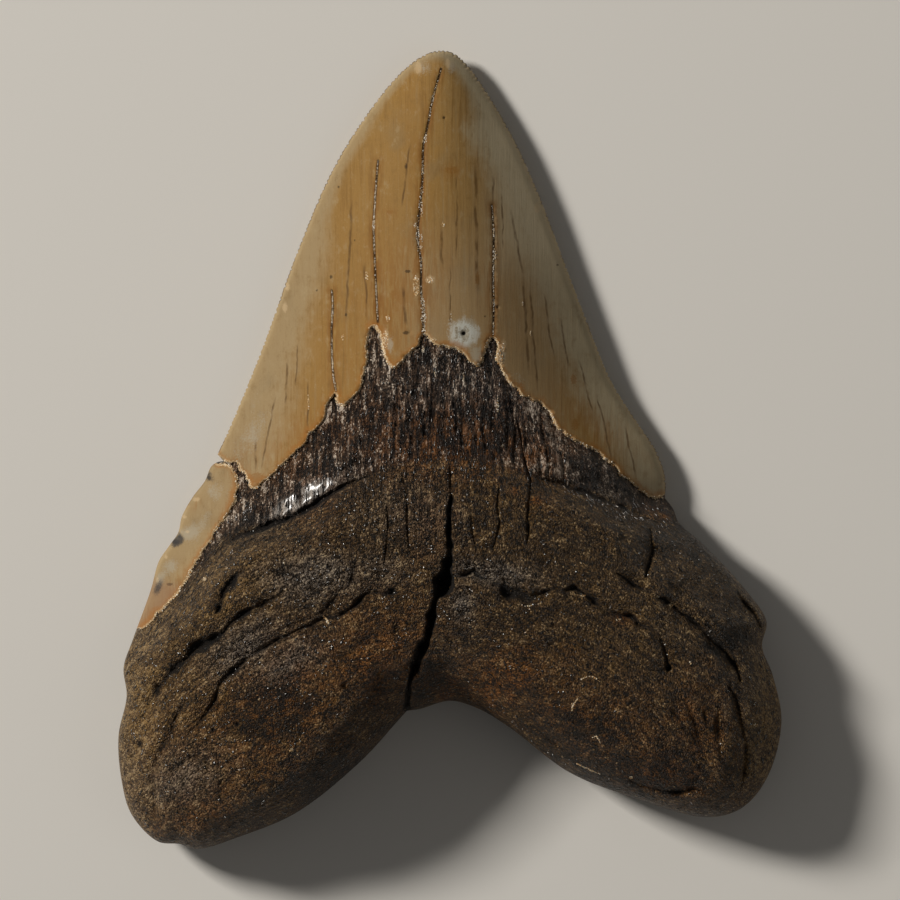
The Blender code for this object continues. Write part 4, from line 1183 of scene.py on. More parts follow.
def serration_tree():
    sizes = {"Pitch": "Float", "Depth": "Float", "Wear": "Float", "Seed": "Float"}
    tree, wires, identifiers = geometry_tree("serrations", sizes)
    run, rim = named(tree, "edge_run"), named(tree, "rim")
    wander = hills_along(tree, run * 0.35 + wires["Seed"])
    scallop = ((run + wander * 1.1) * (2.0 * math.pi) / wires["Pitch"]).math("COSINE") * -0.5 + 0.5
    patchy = hills_along(tree, run * 0.9 - wires["Seed"])
    depth = wires["Depth"] * (1.0 - wires["Wear"] * patchy.ease(0.35, 0.65)) * (scallop**1.5)
    on_edge = run.ease(1.0, 3.0) * (1.0 - run.ease(edge_length - 3.0, edge_length - 1.0))
    push = depth * on_edge * (1.0 - rim.ease(0.0, 0.75)) * MM
    offset = scaled(tree, named(tree, "inward", "FLOAT_VECTOR"), push)
    inputs = {"Geometry": wires["Geometry"], "Offset": offset}
    end_tree(tree, tree.add("GeometryNodeSetPosition", None, inputs))
    return tree.tree, identifiers


group, identifiers = serration_tree()
print("serration tree:", len(group.nodes), "nodes")


# %% Cutting the serrations
def with_nodes(source, name, group, identifiers, settings):
    """A new plain mesh object: source with a Geometry Nodes tree applied."""
    modifier = source.modifiers.new(name, "NODES")
    modifier.node_group = group
    for label, value in settings.items():
        modifier[identifiers[label]] = value
    graph = bpy.context.evaluated_depsgraph_get()
    mesh = bpy.data.meshes.new_from_object(source.evaluated_get(graph), depsgraph=graph)
    source.modifiers.remove(modifier)
    mesh.name = name
    return added(name, mesh)


settings = {"Pitch": SERRATION_PITCH, "Depth": 0.24, "Wear": 0.75, "Seed": 3.0}
tooth_body = with_nodes(tooth_skin, "tooth_body", group, identifiers, settings)
bpy.data.objects.remove(tooth_skin)
print("serrated body:", len(tooth_body.data.polygons), "triangles,",
      round(edge_length / SERRATION_PITCH), "scallops")

# %% [markdown]
# ## Where the loose matter sits
#
# Fibres stand on the band and the bark is a crust of grains, both spread over the skin by a
# number at each point. Pale sand is stuck in the crown's cracks and a crust of crumbs rims the
# enamel. These lie in lines thinner than the skin's triangles, so each gets a bed of its own, a
# narrow ribbon or a small disc that lies on the skin and is thrown away afterwards.


# %% How thickly grit and fibres lie
def reading(name):
    found = np.empty(len(tooth_body.data.vertices), np.float32)
    tooth_body.data.attributes[name].data.foreach_get("value", found)
    return found


def skin_points():
    found = np.empty(3 * len(tooth_body.data.vertices), np.float32)
    tooth_body.data.vertices.foreach_get("co", found)
    return found.reshape(-1, 3) / MM


on_plan, lift = skin_points()[:, :2] - PLAN_MOVED, skin_points()[:, 2]
enamel, below, rim, upper = (reading(name) for name in ("enamel", "below", "rim", "upper"))
patchy = hills(on_plan[:, 0] * 0.9, on_plan[:, 1] * 0.9, 71)
on_bark = ease(0.2, 1.4, below) * ease(0.1, 0.5, -enamel)
on_bark = on_bark * ease(0.5, 0.9, lift) * ease(0.2, 0.6, rim)
store(tooth_body.data, "where_grit", on_bark * (0.3 + 0.7 * upper) * (0.25 + 1.1 * patchy))
on_band = ease(0.3, 0.8, -enamel) * (1 - ease(0.5, 4.0, below)) * upper * ease(1.0, 3.0, rim)
store(tooth_body.data, "where_fibre", on_band)
print("share of the skin that carries grit:", round(float(reading("where_grit").mean()), 2))

# %% Beds for the sand and the crust
# Each heap is (x, y, half width, half height).
SAND_HEAPS = (
    (-4.2, 20.9, 0.46, 0.75), (-5.6, 35.9, 0.30, 0.36), (-4.6, 32.4, 0.24, 0.40),
    (-4.2, 23.2, 0.22, 1.1), (-3.8, 50.0, 0.16, 0.8), (-4.5, 38.4, 0.20, 1.2),
    (-4.5, 33.9, 0.15, 0.8), (-12.2, 35.9, 0.26, 0.34), (7.0, 23.5, 0.20, 0.44),
    (7.2, 31.2, 0.15, 0.8), (-4.3, 15.9, 0.24, 0.7), (7.6, 7.2, 0.20, 1.2), (2.1, 11.6, 0.14, 0.7),
    (-2.4, 12.2, 0.14, 0.8), (2.0, 8.7, 0.12, 0.5), (5.4, 8.2, 0.12, 0.4), (0.2, 21.0, 0.07, 1.2),
    (12.9, 18.6, 0.10, 0.4), (11.6, 23.2, 0.10, 0.5), (8.4, 0.7, 0.12, 0.35),
)
CREAM_HEAPS = (
    (-10.3, 17.6, 0.45, 1.5), (8.5, 16.4, 0.36, 0.8), (-5.4, 26.2, 0.50, 1.7),
    (-3.2, 27.1, 0.6, 0.5), (-1.1, 36.0, 0.26, 0.4), (-17.1, 18.0, 0.22, 0.5),
    (-9.9, 21.0, 0.35, 0.6), (-13.3, 27.8, 0.2, 0.8), (-22.6, 7.6, 0.12, 1.4),
    (-2.7, 17.7, 0.6, 0.35), (8.0, 14.8, 0.5, 1.4),
)


# Pale flecks on the bark: each is a line of points and its half width.
FLECKS = (
    (((-20.2, -26.4), (-19.7, -27.0), (-19.3, -27.7)), 0.14),
    (((20.8, -36.6), (21.8, -36.1), (22.8, -36.1), (23.8, -36.9)), 0.05),
    (((19.4, -41.6), (19.6, -40.6), (20.4, -39.6)), 0.06),
    (((22.6, -45.9), (23.3, -45.6), (24.0, -46.7)), 0.08),
    (((20.2, -50.0), (21.9, -50.8), (24.0, -51.7)), 0.07),
    (((11.4, -24.7), (12.3, -24.9), (13.0, -24.7)), 0.06),
)
BARK_HEAPS = (
    (38.4, -34.0, 0.24, 0.34), (-25.2, -47.8, 0.30, 0.30), (-39.2, -20.6, 0.30, 0.30),
    (35.2, -24.8, 0.34, 0.30), (33.1, -23.4, 0.30, 0.20), (21.2, -23.2, 0.40, 0.16),
    (48.9, -43.9, 0.4, 0.2), (19.6, -40.6, 0.3, 0.3), (-24.4, -48.4, 0.16, 0.2),
    (26.9, -27.1, 0.5, 0.2), (28.9, -52.2, 0.3, 0.2), (-26.4, -18.0, 0.14, 0.14),
)


print("heaps:", len(SAND_HEAPS), "of sand,", len(CREAM_HEAPS) + len(BARK_HEAPS), "of crust")

# %% Laying things on the skin
ABOVE_TOOTH = 0.05  # m


def on_skin(x, y):
    """The spot of the upper face above a point of the plan, or None beside the tooth."""
    start = ((x + PLAN_MOVED[0]) * MM, (y + PLAN_MOVED[1]) * MM, ABOVE_TOOTH)
    found, spot, *_ = tooth_body.ray_cast(start, (0.0, 0.0, -1.0))
    return spot if found else None


class Bed:
    """A mesh of ribbons and discs on the skin, and a number for how thickly crumbs lie there."""

    def __init__(self, name):
        self.name, self.points, self.faces, self.amounts = name, [], [], []

    def lay(self, points, faces, amounts):
        spots = [on_skin(x, y) for x, y in points]
        base = len(self.points)
        self.points += [spot or Vector() for spot in spots]
        self.amounts += list(amounts)
        self.faces += [[base + i for i in face] for face in faces if all(spots[i] for i in face)]

    def ribbon(self, line, low, high, amounts):
        """A strip beside a line, between two distances to its left."""
        side, count = left_of(line), len(line)
        edges = [line + side * np.reshape(reach, (-1, 1)) for reach in (low, high)]
        faces = [(i, i + 1, count + i + 1, count + i) for i in range(count - 1)]
        self.lay(np.concatenate(edges), faces, list(amounts) * 2)

    def heap(self, x, y, half_width, half_height):
        turns = np.linspace(0.0, 2.0 * math.pi, 11)[:-1]
        rim = np.stack([x + half_width * np.cos(turns), y + half_height * np.sin(turns)], axis=1)
        faces = [(0, i + 1, (i + 1) % len(turns) + 1) for i in range(len(turns))]
        self.lay(np.concatenate([[(x, y)], rim]), faces, [1.0] + [0.5] * len(turns))

    def made(self):
        mesh = bpy.data.meshes.new(self.name)
        mesh.from_pydata(self.points, [], self.faces)
        store(mesh, "where_bed", self.amounts)
        return added(self.name, mesh)


bpy.context.view_layer.update()
print("the skin above the origin:", on_skin(0.0, 0.0))

# %% Filling the beds
SAND_IN_CRACKS = (0.55, 1.0, 0.7, 1.0)  # how thickly sand fills each crack of the crown
CRUST_LINES = ((plan.margin, -0.2, 0.26, 91), (plan.strip_edge, -0.26, 0.2, 92))

sand_bed, crust_bed = Bed("sand_bed"), Bed("crust_bed")
for crack, thickly in zip(crown_cracks, SAND_IN_CRACKS):
    gaps = ease(0.30, 0.55, hills(crack.run / 1.5, 0 * crack.run, crack.seed + 5))
    reach = 0.8 * crack.line[:, 2] + 0.03
    sand_bed.ribbon(crack.line[:, :2], -reach, reach, thickly * (0.15 + 0.85 * gaps))
for line, low, high, seed in CRUST_LINES:
    run = run_of(line)
    crust_bed.ribbon(line, low, high, 0.25 + 0.75 * ease(0.3, 0.6, hills(run / 1.7, 0 * run, seed)))
for heap in SAND_HEAPS:
    sand_bed.heap(*heap)
for heap in CREAM_HEAPS + BARK_HEAPS:
    crust_bed.heap(*heap)
for points, half_width in FLECKS:
    fleck = curve_through(points, 0.2)
    crust_bed.ribbon(fleck, -half_width, half_width, np.full(len(fleck), 1.6))
sand_bed, crust_bed = sand_bed.made(), crust_bed.made()
sand_faces, crust_faces = (len(bed.data.polygons) for bed in (sand_bed, crust_bed))
print("beds:", sand_faces, "faces for sand,", crust_faces, "for crust")

# %% [markdown]
# ## One tree that scatters crumbs
#
# The tree drops points on the skin, stands a twenty-faced crumb on each, stretches and turns it,
# and gives it a tone of its own for the finish to read. It ends as plain mesh.


# %% The scattering tree
def crumb_tree():
    floats = ("Per square mm", "Smallest", "Largest", "Stretch", "Flatness", "Disorder")
    sizes = {"Where": "String", **dict.fromkeys(floats, "Float")}
    sizes.update({"Seed": "Int", "Finish": "Material"})
    tree, wires, identifiers = geometry_tree("crumbs", sizes)
    density = named(tree, wires["Where"]) * wires["Per square mm"] / (MM * MM)
    points = tree.add("GeometryNodeDistributePointsOnFaces", {"distribute_method": "RANDOM"},
                      {"Mesh": wires["Geometry"], "Density": density, "Seed": wires["Seed"]})

    def random(kind, low, high, extra):
        """A random number or vector for each point, with its own stream."""
        inputs = {0: low, 1: high} if kind == "FLOAT_VECTOR" else {2: low, 3: high}
        inputs.update({7: None, 8: wires["Seed"] + extra})
        output = 0 if kind == "FLOAT_VECTOR" else 1
        return tree.add("FunctionNodeRandomValue", {"data_type": kind}, inputs, output)

    crumb = tree.add("GeometryNodeMeshIcoSphere", None, {"Radius": MM, "Subdivisions": 1})
    spread = random("FLOAT_VECTOR", (-1.0, -1.0, -1.0), (1.0, 1.0, 1.0), 11.0)
    lean = scaled(tree, spread, wires["Disorder"])
    along = tree.add("ShaderNodeVectorMath", {"operation": "ADD"}, {0: lean, 1: (0.0, 1.0, 0.0)})
    turn = tree.add("FunctionNodeAxesToRotation", {"primary_axis": "Z", "secondary_axis": "Y"},
                    {"Primary Axis": points.of("Normal"), "Secondary Axis": along})
    size = random("FLOAT", 0.0, 1.0, 23.0) ** 2.0
    size = wires["Smallest"] + (wires["Largest"] - wires["Smallest"]) * size
    squash = random("FLOAT", 0.7, 1.3, 37.0)
    long, high = size * wires["Stretch"] * squash, size * wires["Flatness"]
    scale = tree.add("ShaderNodeCombineXYZ", None, {"X": size, "Y": long, "Z": high})
    stood = tree.add("GeometryNodeInstanceOnPoints", None,
                     {"Points": points, "Instance": crumb, "Rotation": turn, "Scale": scale})
    of_each = {"data_type": "FLOAT", "domain": "INSTANCE"}
    toned = tree.add("GeometryNodeStoreNamedAttribute", of_each,
                     {"Geometry": stood, "Name": "tone", "Value": random("FLOAT", 0.0, 1.0, 53.0)})
    plain = tree.add("GeometryNodeRealizeInstances", None, {"Geometry": toned})
    faceted = tree.add("GeometryNodeSetShadeSmooth", None,
                       {"Geometry": plain, "Shade Smooth": False})
    end_tree(tree, tree.add("GeometryNodeSetMaterial", None,
                            {"Geometry": faceted, "Material": wires["Finish"]}))
    return tree.tree, identifiers


crumbs, crumb_inputs = crumb_tree()
print("crumb tree:", len(crumbs.nodes), "nodes, inputs", ", ".join(crumb_inputs))

# %% [markdown]
# ## Helpers for the finishes
#
# Every finish is mixed from a few paints and a few kinds of noise. Paints are given as they look
# on a screen and turned into the linear values that light adds up in.


# %% Paints and washes
def linear(screen):
    """One channel of a colour in linear light, from a screen value of 0 to 255."""
    share = screen / 255
    return ((share + 0.055) / 1.055) ** 2.4 if share > 0.04 else share / 12.92


def paint(red, green, blue):
    return linear(red), linear(green), linear(blue), 1.0


def mix(tree, share, first, second):
    """The first colour where share is 0 and the second where it is 1."""
    return tree.add("ShaderNodeMix", {"data_type": "RGBA"}, {0: share, 6: first, 7: second}, 2)


class Coats:
    """A colour that is painted over, one wash after another."""

    def __init__(self, tree, ground):
        self.tree, self.colour = tree, ground

    def wash(self, share, colour):
        self.colour = mix(self.tree, share, self.colour, colour)


print("an ochre in linear light:", [round(c, 3) for c in paint(150, 118, 78)[:3]])


# %% Noises, places and readings
def noise(tree, place, scale=1.0, detail=2.0, roughness=0.5):
    inputs = {"Vector": place, "Scale": scale, "Detail": detail, "Roughness": roughness}
    return tree.add("ShaderNodeTexNoise", None, inputs)


def cells(tree, place, scale=1.0):
    """Grains: how far a spot is from the middle of its cell, and random numbers for each cell."""
    grains = tree.add("ShaderNodeTexVoronoi", None, {"Vector": place, "Scale": scale})
    lot = tree.add("ShaderNodeSeparateColor", None, {"Color": grains.of("Color")})
    return grains, lot


def stretched(tree, x, y, z=0.0):
    return tree.add("ShaderNodeCombineXYZ", None, {"X": x, "Y": y, "Z": z})


def finish_tree(name):
    material = bpy.data.materials.new(name)
    material.use_nodes = True
    material.node_tree.nodes.clear()
    return material, Tree(material.node_tree)


def place_in_mm(tree):
    """The spot on the object in millimetres: the vector, then x, y and z."""
    spot = tree.add("ShaderNodeTexCoord", None, None, "Object")
    spot = scaled(tree, spot, 1 / MM)
    apart = tree.add("ShaderNodeSeparateXYZ", None, {"Vector": spot})
    return spot, apart.of("X"), apart.of("Y"), apart.of("Z")


def reads(tree, name):
    """An attribute of the mesh, as a number."""
    return tree.add("ShaderNodeAttribute", {"attribute_name": name}, None, "Fac")


print("a metre reads as", 1 / MM, "mm in every finish")


# %% Bumps and the shader
def bumps(tree, height):
    """Normals tilted by a height in millimetres."""
    return tree.add("ShaderNodeBump", None, {"Height": height, "Distance": MM, "Strength": 1.0})


def principled(tree, fixed, varying):
    """The shader itself: fixed numbers on its own sockets, wires for what varies."""
    shader = tree.add("ShaderNodeBsdfPrincipled", None, {**fixed, **varying})
    tree.add("ShaderNodeOutputMaterial", None, {"Surface": shader})
    return shader


print("materials before the finishes:", len(bpy.data.materials))

# %% [markdown]
# ## Enamel
#
# Enamel is dense, and its old gloss has worn to a satin. Burial has stained it golden brown along
# its fibres, left it a greyish cream towards the cutting edges, and drawn amber halos beside the
# cracks. It is layered here as a stainer would work: a clouded ground, long faint fibres, amber,
# then dark hairlines and single spots on top.

# %% Hairlines and single spots
# Each hairline is (x, y) at the top, (x, y) at the bottom, and its half width.
HAIRLINES = (
    ((-15.7, 40.5), (-16.6, 20.0), 0.16), ((-6.4, 49.0), (-7.7, 38.5), 0.14),
    ((-7.5, 26.0), (-6.9, 19.6), 0.20), ((-1.4, 36.6), (-1.3, 28.6), 0.16),
    ((1.1, 44.0), (1.1, 30.0), 0.12), ((4.0, 46.5), (4.4, 24.5), 0.20),
    ((0.0, 29.6), (0.1, 19.0), 0.10), ((6.9, 44.0), (6.8, 35.0), 0.14),
    ((8.3, 41.0), (8.5, 32.0), 0.10), ((9.7, 38.5), (11.7, 27.6), 0.16),
    ((11.6, 28.4), (12.7, 11.6), 0.18), ((12.8, 26.5), (14.0, 8.8), 0.13),
    ((15.0, 25.0), (16.6, 14.6), 0.13), ((17.8, 21.0), (19.0, 13.0), 0.14),
    ((20.6, 14.5), (23.0, 5.4), 0.12), ((23.5, 9.0), (25.8, -1.6), 0.12),
    ((28.0, 3.8), (29.9, -4.8), 0.12), ((-26.0, 14.6), (-26.3, 7.0), 0.14),
    ((-27.8, 8.6), (-30.2, -3.2), 0.13), ((-31.0, 1.6), (-31.1, -3.8), 0.14),
    ((-22.7, 11.0), (-22.6, 2.6), 0.12), ((-13.6, 30.0), (-13.2, 20.5), 0.14),
    ((-24.4, 17.0), (-24.7, 10.0), 0.10),
)
# Each spot is (x, y, half width, half height).
# Painted shade: darker patches where the lobes turn away from the key lamp.
PAINTED_SHADE_PATCHES = (
    (32.0, -51.6, 11.0, 3.8), (-28.0, -42.0, 8.0, 5.0), (19.4, -45.6, 7.0, 4.6),
    (-3.4, -36.5, 3.0, 3.0), (44.0, -30.0, 4.0, 3.0), (-20.0, -52.0, 9.0, 4.0),
    (38.6, -14.6, 7.0, 3.4), (25.0, -50.5, 7.0, 3.4),
)
DARK_SPOTS = (
    (-7.0, 45.2, 0.22, 0.42), (-6.7, 28.4, 0.50, 0.26), (-7.0, 18.6, 0.42, 0.30),
    (-19.0, 27.6, 0.22, 0.30), (-16.6, 21.5, 0.20, 0.26), (-13.4, 27.4, 0.20, 0.26),
    (7.5, 22.8, 0.24, 0.26), (-17.8, 42.0, 0.16, 0.2), (-1.0, 53.0, 0.24, 0.20),
    (-21.3, 25.4, 0.15, 0.18), (17.2, 29.5, 0.20, 0.12), (-43.9, -14.8, 0.60, 0.34),
    (-43.3, -13.7, 0.26, 0.46), (-38.5, -4.6, 0.26, 0.40), (-44.8, -21.6, 0.50, 0.24),
    (5.6, 21.2, 0.14, 0.16), (-15.2, 33.4, 0.13, 0.15),
)
AMBER_SPOTS = (
    (0.3, 44.6, 1.20, 0.62), (-8.8, 24.9, 0.80, 0.55), (-9.6, 37.9, 0.60, 0.32),
    (4.4, 27.2, 0.35, 1.2), (19.8, 11.2, 0.50, 0.8), (20.0, 4.0, 0.60, 1.0),
    (-30.8, -4.6, 1.30, 0.9), (-9.9, 20.8, 0.7, 0.8),
)
CREAM_SPOTS = (
    (-5.1, 61.1, 0.55, 0.95), (-0.3, 61.7, 0.35, 0.80), (-10.3, 17.6, 0.55, 1.60),
    (8.5, 16.6, 0.50, 0.90), (-26.4, 22.7, 0.40, 0.75), (-26.0, 26.0, 0.35, 0.6),
    (14.0, 38.6, 0.50, 0.8), (-3.2, 27.1, 0.7, 0.6), (-40.6, -8.0, 0.60, 0.34),
    (-42.5, -10.8, 0.36, 0.26), (-42.0, -13.2, 0.34, 0.22), (-46.8, -21.0, 0.22, 0.50),
    (-45.4, -17.2, 0.26, 0.30),
)
EYE = (2.2, 18.5)
print(len(HAIRLINES), "hairlines and",
      sum(map(len, (PAINTED_SHADE_PATCHES, DARK_SPOTS, AMBER_SPOTS, CREAM_SPOTS))), "single spots")


# %% Drawing hairlines and spots
def hairline(x, y, top, bottom, half_width):
    """How strongly one hairline darkens each spot. x already wobbles."""
    lean = (bottom[0] - top[0]) / (bottom[1] - top[1])
    away = abs(x - y * lean + (top[1] * lean - top[0]))
    near = (away * (-1.0 / half_width) + 1.6).least(1.0).most(0.0)
    middle, half = (top[1] + bottom[1]) / 2, (top[1] - bottom[1]) / 2
    ends = (abs(y - middle) * (-1.0 / half) + 1.0).least(0.3).most(0.0) * 3.3
    return near * ends


def hairlines(tree, x, y):
    """All the hairlines together, fainter here and there."""
    wobble = noise(tree, stretched(tree, x * 0.3, y * 0.3), 1.0, 2.0) - 0.5
    gaps = noise(tree, stretched(tree, x * 1.1, y * 0.45, 5.0), 1.0, 2.0).ease(0.30, 0.62)
    wobbling = x + wobble * 0.8
    found = None
    for top, bottom, half_width in HAIRLINES:
        one = hairline(wobbling, y, top, bottom, half_width)
        found = one if found is None else found.most(one)
    return found * (gaps * 0.75 + 0.25)


def spots(x, y, fray, given):
    """1 on each of the given spots and 0 away from them, with ragged edges."""
    found = None
    for cx, cy, half_width, half_height in given:
        across, up = (x - cx) * (1 / half_width), (y - cy) * (1 / half_height)
        one = across * across + up * up
        found = one if found is None else found.least(one)
    return 1.0 - (found + fray * 3.0).ease(0.3, 1.6)


widths = [2 * half_width for *_, half_width in HAIRLINES]
print("hairlines are", round(min(widths), 3), "to", round(max(widths), 3), "mm wide")


# %% What the enamel's coats read
def enamel_places(tree):
    """The places, readings and noises that more than one coat uses."""
    at = SimpleNamespace()
    spot, at.x, at.y, _ = place_in_mm(tree)
    readings_used = ("upper", "rim", "enamel", "near_crack")
    at.face, at.rim, at.inside_it, at.near_crack = (reads(tree, name) for name in readings_used)
    at.cloud = noise(tree, spot, 0.16, 3.0, 0.55)
    at.fibres = noise(tree, stretched(tree, at.x * 1.5, at.y * 0.06, at.face * 9.0), 1.0, 4.0, 0.64)
    at.fine = noise(tree, stretched(tree, at.x * 5.0, at.y * 0.5, at.face * 9.0), 1.0, 2.0, 0.6)
    at.grains = noise(tree, spot, 4.2, 2.0, 0.6) - 0.5
    return at


# %% The enamel's ground
def enamel_ground(tree, at):
    """Golden brown under a greyish cream that thins inwards, both clouded and fibrous."""
    x, y, face, grains, cloud, fibres = at.x, at.y, at.face, at.grains, at.cloud, at.fibres
    leftwards = 1.0 - (x + y * 0.05).ease(-3.0, 5.0)
    narrows = y.ease(28.0, 46.0) * leftwards * 2.2 + 1.0
    narrows = narrows - (1.0 - y.ease(0.0, 20.0)) * leftwards * 0.35 + y.ease(50.0, 60.0) * 1.6
    at.dabs = dabs = noise(tree, stretched(tree, x * 0.75, y * 0.42, face * 5.0), 1.0, 4.0, 0.7)
    khaki = mix(tree, leftwards, paint(170, 156, 127), paint(156, 133, 96))
    inwards = at.rim * narrows + (fibres - 0.5) * 2.2 + (cloud + dabs - 1.0) * 4.0
    greyish = 1.0 - inwards.ease(3.0, 8.4)
    golden = mix(tree, leftwards, paint(153, 121, 72), paint(147, 112, 58))
    coats = Coats(tree, mix(tree, greyish, golden, khaki))
    streak = fibres.ease(0.50, 0.72) * (0.50 - greyish * 0.36)
    coats.wash(streak, paint(114, 80, 34))
    coats.wash((1.0 - fibres.ease(0.28, 0.47)) * 0.36, paint(150, 130, 96))
    coats.wash(at.fine.ease(0.54, 0.74) * 0.16, paint(104, 76, 40))
    coats.wash(cloud.ease(0.52, 0.75) * 0.3, paint(128, 112, 84))
    coats.wash(dabs.ease(0.52, 0.70) * 0.30, paint(116, 88, 46))
    coats.wash((1.0 - dabs.ease(0.30, 0.46)) * 0.32, paint(168, 148, 112))
    smoky = x.ease(-12.0, -2.0) * (1.0 - x.ease(14.0, 22.0)) * (1.0 - y.ease(24.0, 42.0)) * face
    coats.wash(smoky * 0.38, paint(160, 143, 116))
    pale = x.ease(3.0, 10.0) * y.ease(24.0, 34.0) * face
    coats.wash(pale * 0.38, paint(212, 196, 164))
    coats.wash(grains.ease(0.10, 0.26) * 0.20, paint(190, 168, 126))
    coats.wash((grains * -1.0).ease(0.10, 0.26) * 0.22, paint(96, 66, 30))
    cutting = (1.0 - (at.rim + grains * 0.8).ease(0.1, 0.8)) * face
    coats.wash(cutting * 0.45, paint(188, 166, 128))
    return coats


# %% Amber, halos and dark lines
def stain_enamel(tree, at, coats):
    """What has seeped in: amber, a halo along each crack, hairlines and dark spots; down each
    crack's middle, painted shade.
    """
    x, y, face, grains = at.x, at.y, at.face, at.grains
    streaks = noise(tree, stretched(tree, x * 2.2, y * 0.22, 4.0), 1.0, 3.0, 0.65)
    amber = reads(tree, "amber") * streaks.ease(0.36, 0.60)
    amber = amber.most(spots(x, y, grains, AMBER_SPOTS) * face)
    coats.wash(amber * 0.55, paint(134, 86, 26))
    halo = (1.0 - at.near_crack.ease(0.1, 1.4)) * (streaks + (at.dabs - 0.5) * 0.6).ease(0.36, 0.58)
    coats.wash(halo * 0.62, paint(122, 76, 22))
    # The middle of each crack is painted near black: painted shade.
    crack_core_shade = 1.0 - (at.near_crack + grains * 0.3).ease(0.08, 0.30)
    coats.wash(crack_core_shade * 0.85, paint(30, 20, 10))
    coats.wash(hairlines(tree, x, y) * face * 0.68, paint(78, 52, 22))
    coats.wash(spots(x, y, grains, DARK_SPOTS) * face * 0.75, paint(54, 38, 18))


print(len(AMBER_SPOTS), "amber and", len(DARK_SPOTS), "dark spots in the enamel")


# %% Milky and grey patches
def patch_enamel(tree, at, coats):
    """The strip's rosy end, milky and grey patches, and cream spots."""
    x, y, face, grains = at.x, at.y, at.face, at.grains
    strip_end = 1.0 - (y + grains * 2.4 + x * 0.35).ease(-38.4, -36.0)
    strip_end = strip_end * (1.0 - x.ease(-41.0, -38.0)) * face
    coats.wash(strip_end * (at.cloud * 0.6 + 0.2), paint(136, 102, 78))
    at.milky = (reads(tree, "milky") + grains * 0.7 + (at.dabs - 0.5) * 0.9).ease(0.30, 0.75)
    coats.wash(at.milky * 0.62, paint(170, 161, 142))
    cream = spots(x, y, grains, CREAM_SPOTS) * face * (at.fine * 0.5 + 0.2)
    coats.wash(cream, paint(206, 180, 142))
    grey = reads(tree, "grey")
    coats.wash((grey + grains * 0.7).ease(0.35, 0.85) * 0.85, paint(52, 53, 56))


print(len(CREAM_SPOTS), "cream spots")


# %% The pale ring with its dark pit
def draw_eye(tree, at, coats):
    """A torn pale ring, greyer inside, round a pit that is painted near black as painted shade."""
    face, grains, dabs = at.face, at.grains, at.dabs
    across, up = at.x - EYE[0], at.y - EYE[1]
    away = (across * across + up * up).math("SQRT") + grains * 1.8 + (dabs - 0.5) * 4.5
    torn = dabs.ease(0.3, 0.6) * 0.35 + at.fine.ease(0.3, 0.7) * 0.2 + 0.42
    ring = (1.0 - away.ease(1.6, 2.8)) * away.ease(0.7, 1.5) * 0.9
    eye = (ring + (1.0 - away.ease(1.0, 2.6)) * 0.25) * face
    coats.wash(eye * torn, paint(198, 198, 188))
    coats.wash((1.0 - away.ease(0.4, 1.3)) * face * 0.5, paint(110, 112, 104))
    # The pit is painted near black: painted shade.
    pit = 1.0 - ((across * across + up * up).math("SQRT") + grains * 0.2).ease(0.24, 0.42)
    coats.wash(pit * face * 0.95, paint(16, 14, 12))


print("middle of the ring, mm:", EYE)


# %% The enamel's finish
def enamel_finish():
    material, tree = finish_tree("fossil_enamel_finish")
    at = enamel_places(tree)
    coats = enamel_ground(tree, at)
    for lay in (stain_enamel, patch_enamel, draw_eye):
        lay(tree, at, coats)
    inner = 1.0 - (at.inside_it + at.grains * 1.2 + (at.cloud - 0.5) * 2.4).ease(0.2, 1.2)
    coats.wash(inner * 0.55, paint(152, 94, 26))
    lip = 1.0 - (at.inside_it + at.grains * 0.7).ease(0.06, 0.34)
    coats.wash(lip * 0.7, paint(212, 188, 148))

    roughness = 0.54 + at.cloud * 0.14 + at.fine * 0.10 + at.milky * 0.1
    height = (at.fibres - 0.5) * 0.05 + (at.fine - 0.5) * 0.014 + at.grains * 0.010
    principled(tree, {"IOR": 1.5, "Specular IOR Level": 0.15},
               {"Base Color": coats.colour, "Roughness": roughness, "Normal": bumps(tree, height)})
    return material


enamel_material = enamel_finish()
print("the enamel's finish:", len(enamel_material.node_tree.nodes), "nodes")

# %% [markdown]
# ## Dentine: the band and the bark
#
# With its enamel gone, the band shows charcoal fibres with rust between them and a few glassy
# flakes. Below it the root is spongy bone turned to stone, a crust of grains about a quarter of a
# millimetre across, from near black through brown to grey, and worn to a dull shine on the
# ridges. Both are the same stuff, so they share one finish: cells give each grain its own tone and
# relief, upright on the band and along the lobes' arcs on the root. Every crack and pit is painted
# darker the deeper it cuts, as painted shade.


# %% What the dentine's coats read
def dentine_places(tree):
    """The places, readings, noises and grains that more than one coat uses."""
    at = SimpleNamespace()
    spot, x, y, z = place_in_mm(tree)
    face, below, at.cut = (reads(tree, name) for name in ("upper", "below", "cut"))
    at.rust, at.ochre, at.gloss = (reads(tree, name) for name in ("rust", "ochre", "gloss"))
    arched = y + x * x * 0.0082
    cloud = noise(tree, stretched(tree, x * 0.34, arched * 0.55, z * 0.34), 1.0, 4.0, 0.72)
    on_band = (1.0 - (below + (cloud - 0.5) * 3.0).ease(-1.2, 0.6)) * face
    centre = (1.0 - below.ease(6.0, 20.0)) * (1.0 - abs(x + 1.0).ease(10.0, 19.0)) * face
    at.upright = noise(tree, stretched(tree, x * 1.5, y * 0.24, 3.0), 1.0, 4.0, 0.68) - 0.5
    at.streaky = at.upright * on_band.most(centre * 0.7)
    layered = noise(tree, stretched(tree, x * 0.5, arched * 2.2, z * 1.6), 1.0, 4.0, 0.66) - 0.5
    at.layered = layered * (1.0 - on_band) * (1.0 - centre)
    rows = y * on_band * 1.3 + arched * (1.0 - on_band) * 1.9
    flaked = stretched(tree, x * (on_band * 1.3 + 1.9), rows, z * 1.9)
    at.flakes, at.flake = cells(tree, flaked, 1.0)
    at.grains, at.grain = cells(tree, spot, 4.4)
    at.x, at.y, at.z = x, y, z
    at.face, at.cloud, at.on_band, at.centre = face, cloud, on_band, centre
    return at


